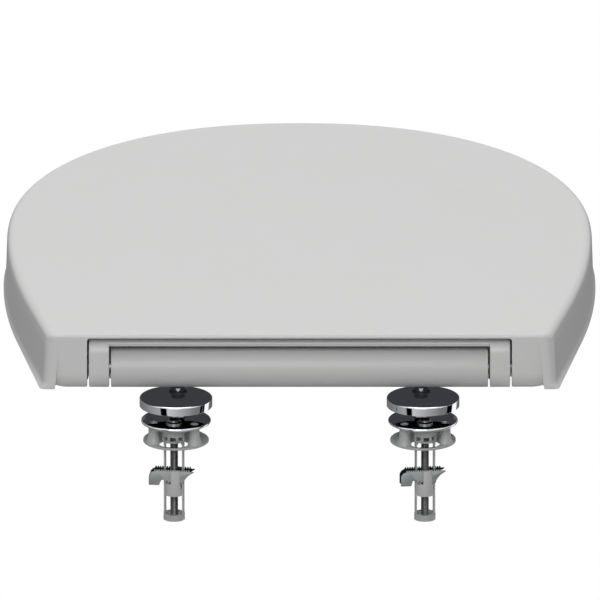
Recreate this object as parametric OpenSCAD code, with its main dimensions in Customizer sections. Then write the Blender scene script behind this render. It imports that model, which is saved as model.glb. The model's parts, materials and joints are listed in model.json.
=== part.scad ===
// Toilet seat with a wrap-over lid, a soft-close hinge bar and two top-fix fixings.
// All sizes are millimetres. X runs across the seat, Y from the fixing bolts to the front, Z up.
// The origin lies midway between the two fixing bolts, on the underside of the foot washers.

/* [Lid] */
// Greatest width of the lid
lid_w = 370; // [355:1:385]
// Length of the lid from its rear wall to its front tip
lid_l = 438; // [425:1:450]
// Height of the lid from its lower edge to its top
lid_h = 35.6; // [33:0.2:38]
// Thickness of the lid's plate and walls
lid_wall = 3.2; // [2.6:0.1:3.8]
// Distance of the lid's widest place from its rear wall
lid_wide_at = 210; // [200:1:220]
// Squareness of the curved front, where 2 is an ellipse
front_square = 2.2; // [2:0.05:2.35]
// Radius of the side curve behind the widest place
side_curve_r = 720; // [600:10:850]
// Angle between the straight rear sides and the length of the seat
side_taper = 9.2; // [8:0.2:10.4]
// Radius of the rear corners outside
lid_corner_r = 3; // [2:0.5:5]
// Radius of the rear corners inside
lid_inner_corner_r = 8; // [7:0.5:12]
// Radius of the top edge round the sides and the front
lid_edge_r = 5; // [3:0.5:6]
// Radius of the top edge along the rear
lid_rear_edge_r = 1.6; // [0.8:0.1:2.4]
// How far the lower edge of the sides and the front flares out
lid_flare = 1.4; // [0.6:0.1:2]
// Height of the flare
lid_flare_h = 5; // [3:0.5:8]
// How far the sides and the front lean in above the flare
lid_draft = 1; // [0.4:0.1:1.6]
// How far the rear wall leans in
lid_rear_draft = 0.4; // [0.2:0.1:1]
// Height of the lid's top above the hinge axis
lid_rise = 25; // [24:0.5:27]
// Height of the plate's rear edge over the notch, below the top
notch_lip = 2.6; // [2:0.1:3]
// Length of the pads under the lid
lid_pad_h = 9.5; // [8:0.5:9.5]
// Diameter of the pads under the lid
lid_pad_d = 12; // [9:0.5:14]
// Distance of the pads from the side of the lid
lid_pad_in = 38; // [32:1:44]
// Distance of the pads from the lid's widest place, towards the front
lid_pad_at = 60; // [40:1:80]
// Depth of the pads' plugs in the plate
pad_plug = 1.8; // [1.4:0.1:2]
// Diameter of the pads' plugs
pad_plug_d = 6; // [5:0.5:8]

/* [Seat ring] */
// Height of the seat ring
seat_h = 23; // [20:0.5:24]
// Free height between the seat ring and the lid's plate
seat_headroom = 9.8; // [9.8:0.1:11]
// Gap between the seat ring and the lid's walls
seat_margin = 1; // [0.8:0.1:2]
// Width of the opening
hole_w = 235; // [215:1:245]
// Length of the opening
hole_l = 280; // [260:1:290]
// Squareness of the opening, where 2 is an ellipse
hole_square = 2.25; // [2:0.05:2.4]
// Depth of the ring between its rear edge and the opening
ring_back = 60; // [50:1:70]
// Radius of the ring's rear corners
ring_corner_r = 15; // [12:0.5:20]
// Radius of the ring's outer top edge
ring_outer_r = 5; // [3:0.5:6]
// Radius of the ring's top edge round the opening
ring_inner_r = 9; // [6:0.5:10]
// How much lower the top is beside the opening than at the outside
ring_dish = 1.6; // [0.5:0.1:2.5]
// Width of the solid rim on each side of the channel underneath
ring_rim = 7; // [5:0.5:9]
// Depth of the channel underneath
ring_channel = 10; // [6:0.5:12]
// Diameter of the rubber buffers
buffer_d = 22; // [18:1:24]
// Height of the rubber buffers below the ring
buffer_h = 9.7; // [8:0.1:12]
// Depth of the buffers' plugs in the ring
buffer_plug = 6; // [4:0.5:8]
// Diameter of the buffers' plugs
buffer_plug_d = 8; // [6:0.5:10]
// Distance of the front buffers from the middle
buffer_front_x = 92; // [80:1:100]
// Distance of the front buffers from the lid's widest place
buffer_front_at = 150; // [140:1:158]
// Distance of the rear buffers from the middle
buffer_rear_x = 108; // [95:1:118]
// Distance of the rear buffers from the ring's rear edge
buffer_rear_at = 30; // [26:1:40]

/* [Hinge] */
// Height of the hinge axis above the foot washers' underside
hinge_z = 44.6; // [44:0.2:47]
// Diameter of the hinge bar, of the ears and of the lugs
bar_d = 24.6; // [24:0.2:26]
// Length of the hinge bar outside each post
bar_reach = 41.4; // [38:0.2:44]
// Width of each ear of the seat
ear_w = 12.5; // [11:0.5:14]
// Width of each lug of the lid
lug_w = 19; // [17:0.5:21]
// Side gap between the bar, the ears and the lugs
side_gap = 1.1; // [0.9:0.1:1.4]
// Free radius between the hinge bar and the seat
bar_gap = 1.2; // [0.8:0.1:1.5]
// Free radius between the seat's rear strip and the lid's plate
strip_gap = 1.3; // [0.8:0.1:2]
// Thickness of the seat's rear strip
strip_t = 3; // [2.4:0.1:4]
// Angle round the hinge axis at which the seat's rear strip ends
strip_end = 115; // [110:1:120]
// Diameter of the two hinge shafts
shaft_d = 8; // [7:0.5:8.5]
// Thickness of the shafts across their two flats
shaft_flat = 6.4; // [5.6:0.2:6.6]
// Free radius round a turning shaft
shaft_gap = 0.06; // [0.04:0.01:0.09]
// Wall of the bushes
bush_wall = 2; // [1.5:0.1:2.5]
// Thickness of the bushes' flange
bush_flange = 0.6; // [0.4:0.1:0.7]
// Diameter of the soft-close dampers
damper_d = 18; // [16:0.5:19]
// Wall of the bar between a post's socket and a damper
damper_web = 7.6; // [6:0.2:10]
// Free radius round a pressed-in piece
press_gap = 0.05; // [0.02:0.01:0.08]

/* [Fixing base] */
// Distance between the two fixing bolts
bolt_spacing = 155; // [150:1:160]
// Angle by which each base is turned inwards round its bolt
base_turn = 7; // [4:0.5:10]
// Distance of the base plate's centre from the bolt
base_offset = 9.6; // [9:0.1:10]
// Distance of the post from the bolt
post_reach = 19.65; // [19:0.05:20.2]
// Diameter of the post
post_d = 8.6; // [8:0.1:9]
// Length of the post inside the hinge bar
post_grip = 11; // [9:0.5:12]
// Free radius between the post and what slides on it
post_gap = 0.06; // [0.04:0.01:0.09]
// Diameter of the post's foot on the base plate
post_foot_d = 12; // [10:0.5:14]
// Height of the post's foot
post_foot_h = 1.5; // [1:0.1:2]
// Diameter of the post's stub in the base plate
post_stub_d = 6; // [5:0.5:7]
// Diameter of the cap
cap_d = 45; // [44.6:0.1:47]
// Height of the cap
cap_h = 5.8; // [5.4:0.1:6.4]
// Thickness of the cap's sheet
cap_sheet = 0.8; // [0.6:0.1:1]
// Diameter of the hole in the cap that holds the seal
seal_neck_d = 9.8; // [9.4:0.1:10.2]
// Diameter of the seal's two lips
seal_rim_d = 11.2; // [10.8:0.1:12]
// Thickness of the seal's lips
seal_lip = 0.45; // [0.3:0.05:0.6]
// Gap between the lifted cap's top and the hinge bar
cap_bar_gap = 3.6; // [3.2:0.1:4]
// Diameter of the base plate
plate_d = 43.2; // [42:0.1:43.4]
// Thickness of the base plate
plate_t = 2.2; // [1.8:0.1:2.6]
// Height of the base plate's underside above the foot washer's underside
plate_z = 12.2; // [12:0.1:12.6]
// Diameter of the foot washer
foot_d = 40.6; // [39:0.1:42]
// Thickness of the foot washer
foot_t = 1.5; // [1.2:0.1:2]
// Diameter of the foot washer's opening round the bolt
foot_hole_d = 18.6; // [18.4:0.1:18.8]
// Distance of the foot washer's two posts from the bolt
foot_post_at = 12.7; // [12.6:0.1:13]
// Diameter of the foot washer's two posts
foot_post_d = 6.4; // [5.8:0.1:6.6]
// Diameter of the posts' flared feet
foot_post_base_d = 10.4; // [8:0.2:12]
// Height of the posts' flared feet
foot_post_flare = 6; // [4:0.2:6.4]
// Diameter of the pegs on the foot washer's posts
foot_peg_d = 5; // [4.4:0.1:5.2]
// Free radius round the pegs in the base plate
foot_peg_gap = 0.15; // [0.05:0.05:0.2]

/* [Bolt and cage] */
// Diameter of the bolt
bolt_d = 5; // [4.8:0.1:5.1]
// Diameter of the bolt's head
bolt_head_d = 10; // [9:0.2:11]
// Height of the bolt's head
bolt_head_h = 3; // [2.4:0.1:3.2]
// Free radius round the bolt
bolt_gap = 0.07; // [0.04:0.01:0.1]
// Diameter of the sleeve's flange
flange_d = 18.2; // [17.6:0.1:18.4]
// Height of the sleeve's flange and cone
flange_h = 4.5; // [4:0.1:5]
// Diameter of the sleeve's ribbed collar
collar_d = 13.6; // [13.2:0.1:14]
// Height of the sleeve's ribbed collar
collar_h = 4.4; // [4:0.1:5]
// Width of the windows between the collar's ribs
window_w = 3.6; // [2.4:0.1:3.8]
// Distance from the bolt's axis to the inner face of a rail
rail_in = 5.1; // [5:0.05:5.3]
// Distance from the bolt's axis to the outer face of a rail
rail_out = 6.4; // [6.2:0.05:6.45]
// Width of a rail
rail_w = 4; // [3.6:0.1:4.2]
// Free length of the rails
rail_l = 47; // [46:0.5:50]
// Diameter of the cup at the foot of the cage
cup_d = 13.2; // [13:0.1:13.6]
// Height of the cup
cup_h = 3.9; // [3.6:0.1:4.6]
// Depth of the hollow in the cup
cup_depth = 1.6; // [1.2:0.1:2]

/* [Toggle] */
// Depth of the carrier's shoulder below the foot washer's underside
carrier_depth = 24; // [22:0.5:25]
// Diameter of the carrier
carrier_d = 11; // [10.8:0.1:11.2]
// Height of the carrier's body
carrier_h = 7.8; // [7:0.1:8.4]
// Height of the carrier's two uprights
upright_h = 8.8; // [8:0.1:9.4]
// Width of the carrier's uprights
upright_w = 5.8; // [5:0.1:6]
// Distance of the uprights' middle from the bolt's axis
upright_at = 1.4; // [1:0.1:1.8]
// Thickness of each of the toggle's two cheeks
cheek_t = 0.95; // [0.8:0.05:1]
// Free space on both faces of a cheek
cheek_gap = 0.15; // [0.1:0.01:0.18]
// Distance of the pivot from the bolt's axis
pivot_x = 3.9; // [3.85:0.05:4]
// Height of the pivot above the carrier's shoulder
pivot_h = 1.4; // [1.2:0.1:1.6]
// Diameter of the pivot pin
pivot_d = 1.4; // [1.2:0.1:1.5]
// Radius of the round end of a cheek at the pivot
hub_r = 1.7; // [1.5:0.1:1.9]
// Reach of the hammer end from the bolt's axis
hammer_reach = 15.4; // [14.5:0.1:16]
// Reach of the wing end from the bolt's axis
wing_reach = 12.5; // [11.5:0.1:13]
// Height of the toggle's bed above the carrier's shoulder
toggle_h = 8.9; // [8.5:0.1:9.3]
// Depth of the hammer end below the carrier's shoulder
hammer_drop = 0.6; // [0.2:0.1:0.8]
// Distance between two of the toggle's teeth
tooth_pitch = 1; // [0.8:0.1:1.2]
// Height of the toggle's teeth
tooth_h = 0.6; // [0.4:0.1:0.8]

/* [Hidden] */
$fn = 96;

LEFT = -1;
RIGHT = 1;
EPS = 0.01;
// Far enough to reach past any part
FAR = 400;

// Steps along each stretch of a D-shaped outline
front_steps = 22;
side_steps = 4;
straight_steps = 3;
corner_steps = 6;
rear_steps = 6;
edge_steps = 4;

// Colours
WHITE = [0.86, 0.86, 0.86];
BAR_WHITE = [0.80, 0.80, 0.80];
CHROME = [0.62, 0.64, 0.66];
STEEL = [0.38, 0.38, 0.38];
ZINC = [0.66, 0.68, 0.68];
CLEAR_GREY = [0.70, 0.71, 0.71];
RUBBER = [0.20, 0.20, 0.21];
BUFFER_GREY = [0.58, 0.58, 0.57];

// Hinge axis and bar, from the posts that carry the bar
bar_r = bar_d / 2;
hinge_y = post_reach * cos(base_turn);
post_x = bolt_spacing / 2 - post_reach * sin(base_turn);
bar_l = 2 * (post_x + bar_reach);
ear_in = bar_l / 2 + side_gap;
ear_out = ear_in + ear_w;
lug_in = ear_out + side_gap;
lug_out = lug_in + lug_w;
strip_out = lid_rise - lid_wall - strip_gap;
strip_in = strip_out - strip_t;

// Liners of the posts in the bar
socket_wall = 1.4;
socket_r = post_d / 2 + post_gap + socket_wall;

// Dampers and shafts: lengths in the bar, in a keyed seat and in a bush
damper_l = bar_reach - socket_r - damper_web;
shaft_in = damper_l - 7;
key_l = 14;
bush_l = 12;

// Lid, measured from the hinge axis
lid_top = lid_rise;
lid_low = lid_rise - lid_h;
lid_under = lid_top - lid_wall;
lid_wide_y = lid_wide_at - bar_r;
lid_pad_x = lid_w / 2 - lid_pad_in;
lid_pad_y = lid_wide_y + lid_pad_at;

// Seat ring, measured from the hinge axis
ring_inset = lid_wall + lid_flare + lid_draft + seat_margin;
ring_top = lid_under - seat_headroom;
ring_low = ring_top - seat_h;
ring_rear = bar_r + bar_gap;
hole_rear = ring_rear + ring_back;
hole_mid = hole_rear + 0.47 * hole_l;
buffer_front_y = lid_wide_y + buffer_front_at;
buffer_rear_y = ring_rear + buffer_rear_at;
boss_d = buffer_d - 4;

// Heights in the fixing
plate_top = plate_z + plate_t;
cap_top = hinge_z - bar_r - cap_bar_gap;
cap_low = cap_top - cap_h;
post_top = hinge_z + post_grip - sqrt(pow(bar_r, 2) - pow(post_d, 2) / 4);
collar_top = plate_z - flange_h;
rail_top = collar_top - collar_h;
cup_top = rail_top - rail_l;
cup_floor = cup_top - cup_depth;
bolt_end = cup_floor + 0.2;
shoulder_z = -carrier_depth;
cheek_in = bolt_d / 2 + cheek_gap;
cheek_out = cheek_in + cheek_t;
pivot_z = shoulder_z + pivot_h;

// One half of a D-shaped outline about its widest place, from the front tip to the rear middle.
// Each entry holds x, y and the outward normal.
function d_half(half_w, front, rear, curve_r, corner_r) =
    let(
        n = front_square,
        t = side_taper,
        curved_front = [for (i = [0 : front_steps - 1])
            let(
                u = 90 * (1 - i / front_steps),
                x = half_w * pow(cos(u), 2 / n),
                y = front * pow(sin(u), 2 / n),
                nx = pow(x / half_w, n - 1) / half_w,
                ny = pow(y / front, n - 1) / front,
                m = norm([nx, ny])
            )
            [x, y, nx / m, ny / m]],
        side_curve = [for (i = [0 : side_steps])
            let(s = t * i / side_steps)
            [half_w - curve_r * (1 - cos(s)), -curve_r * sin(s), cos(s), -sin(s)]],
        side_end = side_curve[side_steps],
        corner_y = corner_r - rear,
        corner_x = side_end.x + (sin(t) * (corner_y - side_end.y) - corner_r) / cos(t),
        corner_start = [corner_x + corner_r * cos(t), corner_y - corner_r * sin(t)],
        straight = [for (i = [1 : straight_steps - 1])
            let(f = i / straight_steps)
            [side_end.x + f * (corner_start.x - side_end.x), side_end.y + f * (corner_start.y - side_end.y),
                cos(t), -sin(t)]],
        corner = [for (i = [0 : corner_steps])
            let(a = -t - (90 - t) * i / corner_steps)
            [corner_x + corner_r * cos(a), corner_y + corner_r * sin(a), cos(a), sin(a)]],
        back = [for (i = [1 : rear_steps]) [corner_x * (1 - i / rear_steps), -rear, 0, -1]]
    )
    concat(curved_front, side_curve, straight, corner, back);

// Closed outline from one half, with y measured from the hinge axis
function d_outline(half_w, front, rear, curve_r, corner_r) =
    let(half = d_half(half_w, front, rear, curve_r, corner_r), last = len(half) - 1)
    concat(
        [for (p = half) [p[0], p[1] + lid_wide_y, p[2], p[3]]],
        [for (i = [last - 1 : -1 : 1]) [-half[i][0], half[i][1] + lid_wide_y, -half[i][2], half[i][3]]]
    );

lid_outline = d_outline(lid_w / 2, lid_l - lid_wide_at, lid_wide_at, side_curve_r, lid_corner_r);
lid_inner_outline = d_outline(
    lid_w / 2 - lid_wall, lid_l - lid_wide_at - lid_wall, lid_wide_at - lid_wall,
    side_curve_r - lid_wall, lid_inner_corner_r
);
ring_outline = d_outline(
    lid_w / 2 - ring_inset, lid_l - lid_wide_at - ring_inset, lid_wide_y - ring_rear,
    side_curve_r - ring_inset, ring_corner_r
);

// Moves an outline point by d along its normal and lifts it to z
function shifted(p, d, z) = [p[0] + d * p[2], p[1] + d * p[3], z];

// Share of the rear wall at an outline point: 1 along the rear, 0 elsewhere, a blend at the corners
function rear_share(p) = min(1, max(0, (-p[3] - 0.5) * 2));

// Value at an outline point that differs between the rear wall and the rest
function round_lid(p, elsewhere, rear) = elsewhere + rear_share(p) * (rear - elsewhere);

// Top edge radius, flare and whole lean of the lid's wall at an outline point
function lid_edge(p) = round_lid(p, lid_edge_r, lid_rear_edge_r);
function lid_flared(p) = round_lid(p, lid_flare, 0);
function lid_lean(p) = round_lid(p, lid_flare + lid_draft, lid_rear_draft);

// Solid between stacked rings of equal length, closed by its first and last ring
module stacked(rings) {
    n = len(rings[0]);
    top = [for (i = [0 : n - 1]) i];
    bottom = [for (i = [n - 1 : -1 : 0]) (len(rings) - 1) * n + i];
    sides = [for (k = [0 : len(rings) - 2], i = [0 : n - 1])
        let(a = k * n + i, b = k * n + (i + 1) % n)
        each [[b, a, a + n], [b, a + n, b + n]]];
    polyhedron([for (r = rings) each r], concat([top, bottom], sides));
}

// Solid ring from sections of equal length that follow one another round a loop
module looped(sections) {
    n = len(sections);
    m = len(sections[0]);
    faces = [for (i = [0 : n - 1], j = [0 : m - 1])
        let(
            a = i * m + j,
            b = i * m + (j + 1) % m,
            c = ((i + 1) % n) * m + j,
            d = ((i + 1) % n) * m + (j + 1) % m
        )
        each [[d, b, a], [d, a, c]]];
    polyhedron([for (s = sections) each s], faces);
}

module at_hinge() {
    translate([0, hinge_y, hinge_z]) children();
}

// Extrudes a profile drawn in the Y and Z directions across X between two distances
module across(side, from, to) {
    translate([side > 0 ? from : -to, 0, 0]) rotate([90, 0, 90]) linear_extrude(to - from) children();
}

// Puts a fixing drawn about its bolt at its side of the seat
module at_fixing(side) {
    translate([side * bolt_spacing / 2, 0, 0]) rotate([0, 0, side * base_turn]) children();
}

// Cross-section of a keyed shaft: a circle with two flats
module double_flat(gap) {
    intersection() {
        circle(d = shaft_d + 2 * gap);
        square([shaft_d * 2, shaft_flat + 2 * gap], center = true);
    }
}

// Lid

// Shell of the lid: flat top, rounded edge, leaning wall with a flared lower lip, and the hollow inside
module lid_shell() {
    lip = 0.6;
    inner_r = 2.5;
    outer_edge = [for (k = [0 : edge_steps])
        let(t = 90 - 90 * k / edge_steps)
        [for (p = lid_outline)
            shifted(p, -lid_lean(p) - lid_edge(p) * (1 - cos(t)), lid_top - lid_edge(p) * (1 - sin(t)))]];
    outer_wall = [
        [for (p = lid_outline) shifted(p, -lid_flared(p), lid_low + lid_flare_h)],
        [for (p = lid_outline) shifted(p, 0, lid_low + lip)],
        [for (p = lid_outline) shifted(p, -lip, lid_low)]
    ];
    inner_wall = [
        [for (p = lid_inner_outline) shifted(p, lip, lid_low)],
        [for (p = lid_inner_outline) shifted(p, 0, lid_low + lip)],
        [for (p = lid_inner_outline) shifted(p, -lid_flared(p), lid_low + lid_flare_h)],
        [for (p = lid_inner_outline) shifted(p, -lid_lean(p), lid_under - inner_r)],
        [for (p = lid_inner_outline) shifted(p, -lid_lean(p) - inner_r * 0.3, lid_under - inner_r * 0.3)],
        [for (p = lid_inner_outline) shifted(p, -lid_lean(p) - inner_r, lid_under)]
    ];
    stacked(concat(outer_edge, outer_wall, inner_wall));
}

// Opening in the lid's rear wall for the bar and the ears, with rounded upper corners
module lid_notch() {
    corner = 2;
    top = lid_top - notch_lip;
    translate([0, -bar_r + lid_wall * 2, 0]) rotate([90, 0, 0]) linear_extrude(lid_wall * 3) {
        translate([-lug_in, lid_low - 1]) square([2 * lug_in, top - corner - lid_low + 1]);
        translate([corner - lug_in, lid_low - 1]) square([2 * (lug_in - corner), top - lid_low + 1]);
        for (side = [LEFT, RIGHT]) translate([side * (lug_in - corner), top - corner]) circle(corner);
    }
}

// Side view of a lug: a round barrel below, leaning in with the rear wall above
module lug_profile() {
    top = lid_under - EPS;
    circle(bar_r);
    polygon([[-bar_r, 0], [bar_r, 0], [bar_r, top], [lid_rear_draft - bar_r, top]]);
}

module lid() {
    color(WHITE) at_hinge() difference() {
        union() {
            difference() {
                lid_shell();
                lid_notch();
                // The rear wall gives way to the lugs' barrels
                for (side = [LEFT, RIGHT]) across(side, lug_in - 1, lug_out)
                    translate([-bar_r - 1, lid_low - 1]) square([lid_wall + 4, -lid_low + 1]);
            }
            for (side = [LEFT, RIGHT]) across(side, lug_in, lug_out) lug_profile();
        }
        across(LEFT, lug_in - 1, lug_in + bush_l + 1) circle(shaft_d / 2 + bush_wall + press_gap);
        across(RIGHT, lug_in - 1, lug_in + key_l) double_flat(press_gap);
        for (side = [LEFT, RIGHT]) translate([side * lid_pad_x, lid_pad_y, lid_under - 1])
            cylinder(h = pad_plug + 1, d = pad_plug_d + 2 * press_gap);
    }
}

// Pad under the lid
module lid_pad(side) {
    color(RUBBER) at_hinge() translate([side * lid_pad_x, lid_pad_y, 0]) {
        translate([0, 0, lid_under - lid_pad_h])
            cylinder(h = lid_pad_h, d1 = lid_pad_d - 1.5, d2 = lid_pad_d);
        translate([0, 0, lid_under - 1]) cylinder(h = pad_plug + 0.9, d = pad_plug_d);
    }
}

// Seat ring

// Opening of the ring in the direction a, seen from its middle
function hole_point(a) =
    let(
        half_l = sin(a) > 0 ? (hole_l - (hole_mid - hole_rear)) : hole_mid - hole_rear,
        n = hole_square,
        r = pow(pow(abs(cos(a)) * 2 / hole_w, n) + pow(abs(sin(a)) / half_l, n), -1 / n)
    )
    [r * cos(a), hole_mid + r * sin(a)];

// Cross-section of the ring on the line from outline point p to the opening
function ring_section(p) =
    let(
        a = atan2(p[1] - hole_mid, p[0]),
        q = hole_point(a),
        o = [p[0], p[1]],
        e = (q - o) / norm(q - o),
        lip = 1,
        lean = 0.3,
        low_in = ring_top - ring_dish,
        from_outside = concat(
            [[lip, ring_low], [0, ring_low + lip]],
            [for (t = [0 : 30 : 90])
                [lean + ring_outer_r * (1 - cos(t)), ring_top - ring_outer_r * (1 - sin(t))]]
        ),
        from_inside = concat(
            [[ring_inner_r + 12, low_in + 0.4]],
            [for (t = [90 : -22.5 : 0])
                [lean + ring_inner_r * (1 - cos(t)), low_in - ring_inner_r * (1 - sin(t))]],
            [[0, ring_low + lip], [lip, ring_low]],
            [[ring_rim, ring_low], [ring_rim + 1, ring_low + ring_channel]]
        ),
        channel = [[ring_rim + 1, ring_low + ring_channel], [ring_rim, ring_low]]
    )
    concat(
        [for (s = from_outside) let(w = o + s[0] * e) [w.x, w.y, s[1]]],
        [for (s = from_inside) let(w = q - s[0] * e) [w.x, w.y, s[1]]],
        [for (s = channel) let(w = o + s[0] * e) [w.x, w.y, s[1]]]
    );

// Side view of the thin strip that arches over the bar
module strip_profile() {
    difference() {
        circle(strip_out);
        circle(strip_in);
        // Clears everything past the strip's rear edge and below the axis
        polygon([
            [0, 0], FAR * [cos(strip_end), sin(strip_end)], [-FAR, FAR], [-FAR, -FAR], [FAR, -FAR], [FAR, 0]
        ]);
    }
}

// Side view of an ear: barrel below, upright rear face, top under the strip's radius
module ear_profile() {
    circle(bar_r);
    intersection() {
        circle(strip_out);
        translate([-bar_r, 0]) square([2 * strip_out, strip_out]);
    }
    translate([0, ring_low]) square([ring_rear + 2, ring_top - ring_low]);
}

module seat_ring() {
    color(WHITE) at_hinge() difference() {
        union() {
            looped([for (p = ring_outline) ring_section(p)]);
            across(RIGHT, -ear_in - 1, ear_in + 1) strip_profile();
            for (side = [LEFT, RIGHT]) across(side, ear_in, ear_out) ear_profile();
            for (b = [[buffer_front_x, buffer_front_y], [buffer_rear_x, buffer_rear_y]], side = [LEFT, RIGHT])
                translate([side * b.x, b.y, ring_low]) cylinder(h = ring_channel + 2, d = boss_d);
        }
        across(LEFT, ear_in - 1, ear_out + 1) double_flat(press_gap);
        across(RIGHT, ear_in - 1, ear_out + 1) circle(shaft_d / 2 + bush_wall + press_gap);
        for (b = [[buffer_front_x, buffer_front_y], [buffer_rear_x, buffer_rear_y]], side = [LEFT, RIGHT])
            translate([side * b.x, b.y, ring_low - 1])
                cylinder(h = buffer_plug + 1.2, d = buffer_plug_d + 2 * press_gap);
    }
}

// Rubber buffer with its plug
module seat_buffer(side, x, y) {
    color(BUFFER_GREY) at_hinge() translate([side * x, y, ring_low]) {
        translate([0, 0, -buffer_h]) cylinder(h = 1.5, d1 = buffer_d - 3, d2 = buffer_d);
        translate([0, 0, 1.5 - buffer_h]) cylinder(h = buffer_h - 1.5, d = buffer_d);
        cylinder(h = buffer_plug, d = buffer_plug_d);
    }
}

// Hinge

// Shaft that turns in a damper, has two flats from one distance to another and ends in a round journal
module hinge_shaft(side, flat_from, flat_to, end) {
    color(ZINC) at_hinge() difference() {
        across(side, bar_l / 2 - shaft_in, end) circle(d = shaft_d);
        for (face = [-1, 1])
            across(side, flat_from, flat_to) translate([0, face * shaft_d])
                square([2 * shaft_d, 2 * shaft_d - shaft_flat], center = true);
    }
}

module seat_shaft() {
    hinge_shaft(LEFT, ear_in - side_gap / 3, ear_out + side_gap / 3, lug_in + bush_l);
}

module lid_shaft() {
    hinge_shaft(RIGHT, ear_out + side_gap / 2, lug_in + key_l, lug_in + key_l - 0.5);
}

// Flanged bush pressed into a bore whose mouth lies at x = from
module bush(side, from, length) {
    color(RUBBER) at_hinge() difference() {
        union() {
            across(side, from, from + length) circle(shaft_d / 2 + bush_wall);
            across(side, from - bush_flange, from) circle(shaft_d / 2 + bush_wall + 1.5);
        }
        across(side, from - FAR / 10, from + FAR / 10) circle(shaft_d / 2 + shaft_gap);
    }
}

module lid_bush() {
    bush(LEFT, lug_in, bush_l);
}

module seat_bush() {
    bush(RIGHT, ear_in, ear_w - 0.5);
}

// Rotary damper: a round case with a key rib and a blind bore for the shaft
module damper(side) {
    start = bar_l / 2 - damper_l;
    color(ZINC) at_hinge() difference() {
        union() {
            across(side, start, bar_l / 2 - 0.5) circle(d = damper_d);
            across(side, start, bar_l / 2 - 4) translate([damper_d / 2 - 1, -1.4]) square([2, 2.8]);
        }
        across(side, bar_l / 2 - shaft_in - 0.5, bar_l / 2 + 1) circle(shaft_d / 2 + shaft_gap);
    }
}

module seat_damper() {
    damper(LEFT);
}

module lid_damper() {
    damper(RIGHT);
}

module hinge_bar() {
    color(BAR_WHITE) at_hinge() difference() {
        across(RIGHT, -bar_l / 2, bar_l / 2) circle(bar_r);
        for (side = [LEFT, RIGHT]) {
            across(side, bar_l / 2 - damper_l - 0.3, bar_l / 2 + 1) {
                circle(damper_d / 2 + press_gap);
                translate([damper_d / 2 - 1, -1.4 - press_gap]) square([2.1, 2.8 + 2 * press_gap]);
            }
            translate([side * post_x, 0, -bar_r - 1])
                cylinder(h = post_top - hinge_z + bar_r + 2.3, r = socket_r + press_gap);
        }
    }
}

// Liner that takes the post inside the bar, closed above the post
module post_socket(side) {
    low = hinge_z - sqrt(pow(bar_r, 2) - pow(socket_r, 2)) + 0.2;
    color(CLEAR_GREY) translate([side * post_x, hinge_y, 0]) difference() {
        translate([0, 0, low]) cylinder(h = post_top + 1.2 - low, r = socket_r);
        translate([0, 0, low - 1]) cylinder(h = post_top + 0.1 - low + 1, r = post_d / 2 + post_gap);
    }
}

// Fixing

// Post with a foot on the base plate, a stub through it and a groove near its top
module post(side) {
    groove_z = post_top - 4.5;
    color(CHROME) at_fixing(side) translate([0, post_reach, 0]) rotate_extrude() polygon([
        [0, plate_z], [post_stub_d / 2, plate_z], [post_stub_d / 2, plate_top],
        [post_foot_d / 2, plate_top], [post_foot_d / 2, plate_top + post_foot_h - 0.4],
        [post_foot_d / 2 - 0.4, plate_top + post_foot_h], [post_d / 2, plate_top + post_foot_h],
        [post_d / 2, groove_z - 1.6], [post_d / 2 - 0.7, groove_z - 0.9], [post_d / 2 - 0.7, groove_z + 0.9],
        [post_d / 2, groove_z + 1.6], [post_d / 2, post_top - 0.8], [post_d / 2 - 0.8, post_top],
        [0, post_top]
    ]);
}

// Round sheet cap with a turned-down rim and a rounded edge
module cap(side) {
    edge = 1;
    r = cap_d / 2;
    color(CHROME) at_fixing(side) difference() {
        translate([0, base_offset, 0]) rotate_extrude() union() {
            difference() {
                translate([0, cap_low]) square([r, cap_h]);
                translate([-1, cap_low - 1]) square([r - cap_sheet + 1, cap_h - cap_sheet + 1]);
                translate([r - edge, cap_top - edge]) square(edge + 1);
            }
            intersection() {
                translate([r - edge, cap_top - edge]) circle(edge);
                translate([r - edge, cap_top - edge]) square(edge + 1);
            }
        }
        translate([0, post_reach, cap_low]) cylinder(h = cap_h + 1, d = seal_neck_d + 2 * press_gap);
    }
}

// Dark ring snapped into the cap's hole, which grips the post
module cap_seal(side) {
    inner = post_d / 2 + post_gap;
    under = cap_top - cap_sheet;
    color(RUBBER) at_fixing(side) translate([0, post_reach, 0]) rotate_extrude() polygon([
        [inner, under - seal_lip], [seal_rim_d / 2, under - seal_lip], [seal_rim_d / 2, under],
        [seal_neck_d / 2, under], [seal_neck_d / 2, cap_top], [seal_rim_d / 2, cap_top],
        [seal_rim_d / 2 - 0.3, cap_top + seal_lip], [inner, cap_top + seal_lip]
    ]);
}

// Round plate with a rounded rim, holes for the bolt, the post and the foot washer's pegs
module base_plate(side) {
    rim = plate_t / 2;
    color(CHROME) at_fixing(side) difference() {
        translate([0, base_offset, plate_z]) rotate_extrude() {
            square([plate_d / 2 - rim, plate_t]);
            intersection() {
                translate([plate_d / 2 - rim, rim]) circle(rim);
                square([plate_d, plate_t]);
            }
        }
        translate([0, 0, plate_z - 1]) cylinder(h = plate_t + 2, r = bolt_d / 2 + bolt_gap);
        translate([0, post_reach, plate_z - 1]) cylinder(h = plate_t + 2, d = post_stub_d + 2 * press_gap);
        for (x = [-foot_post_at, foot_post_at])
            translate([x, 0, plate_z - 1]) cylinder(h = plate_t + 2, r = foot_peg_d / 2 + foot_peg_gap);
    }
}

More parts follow.
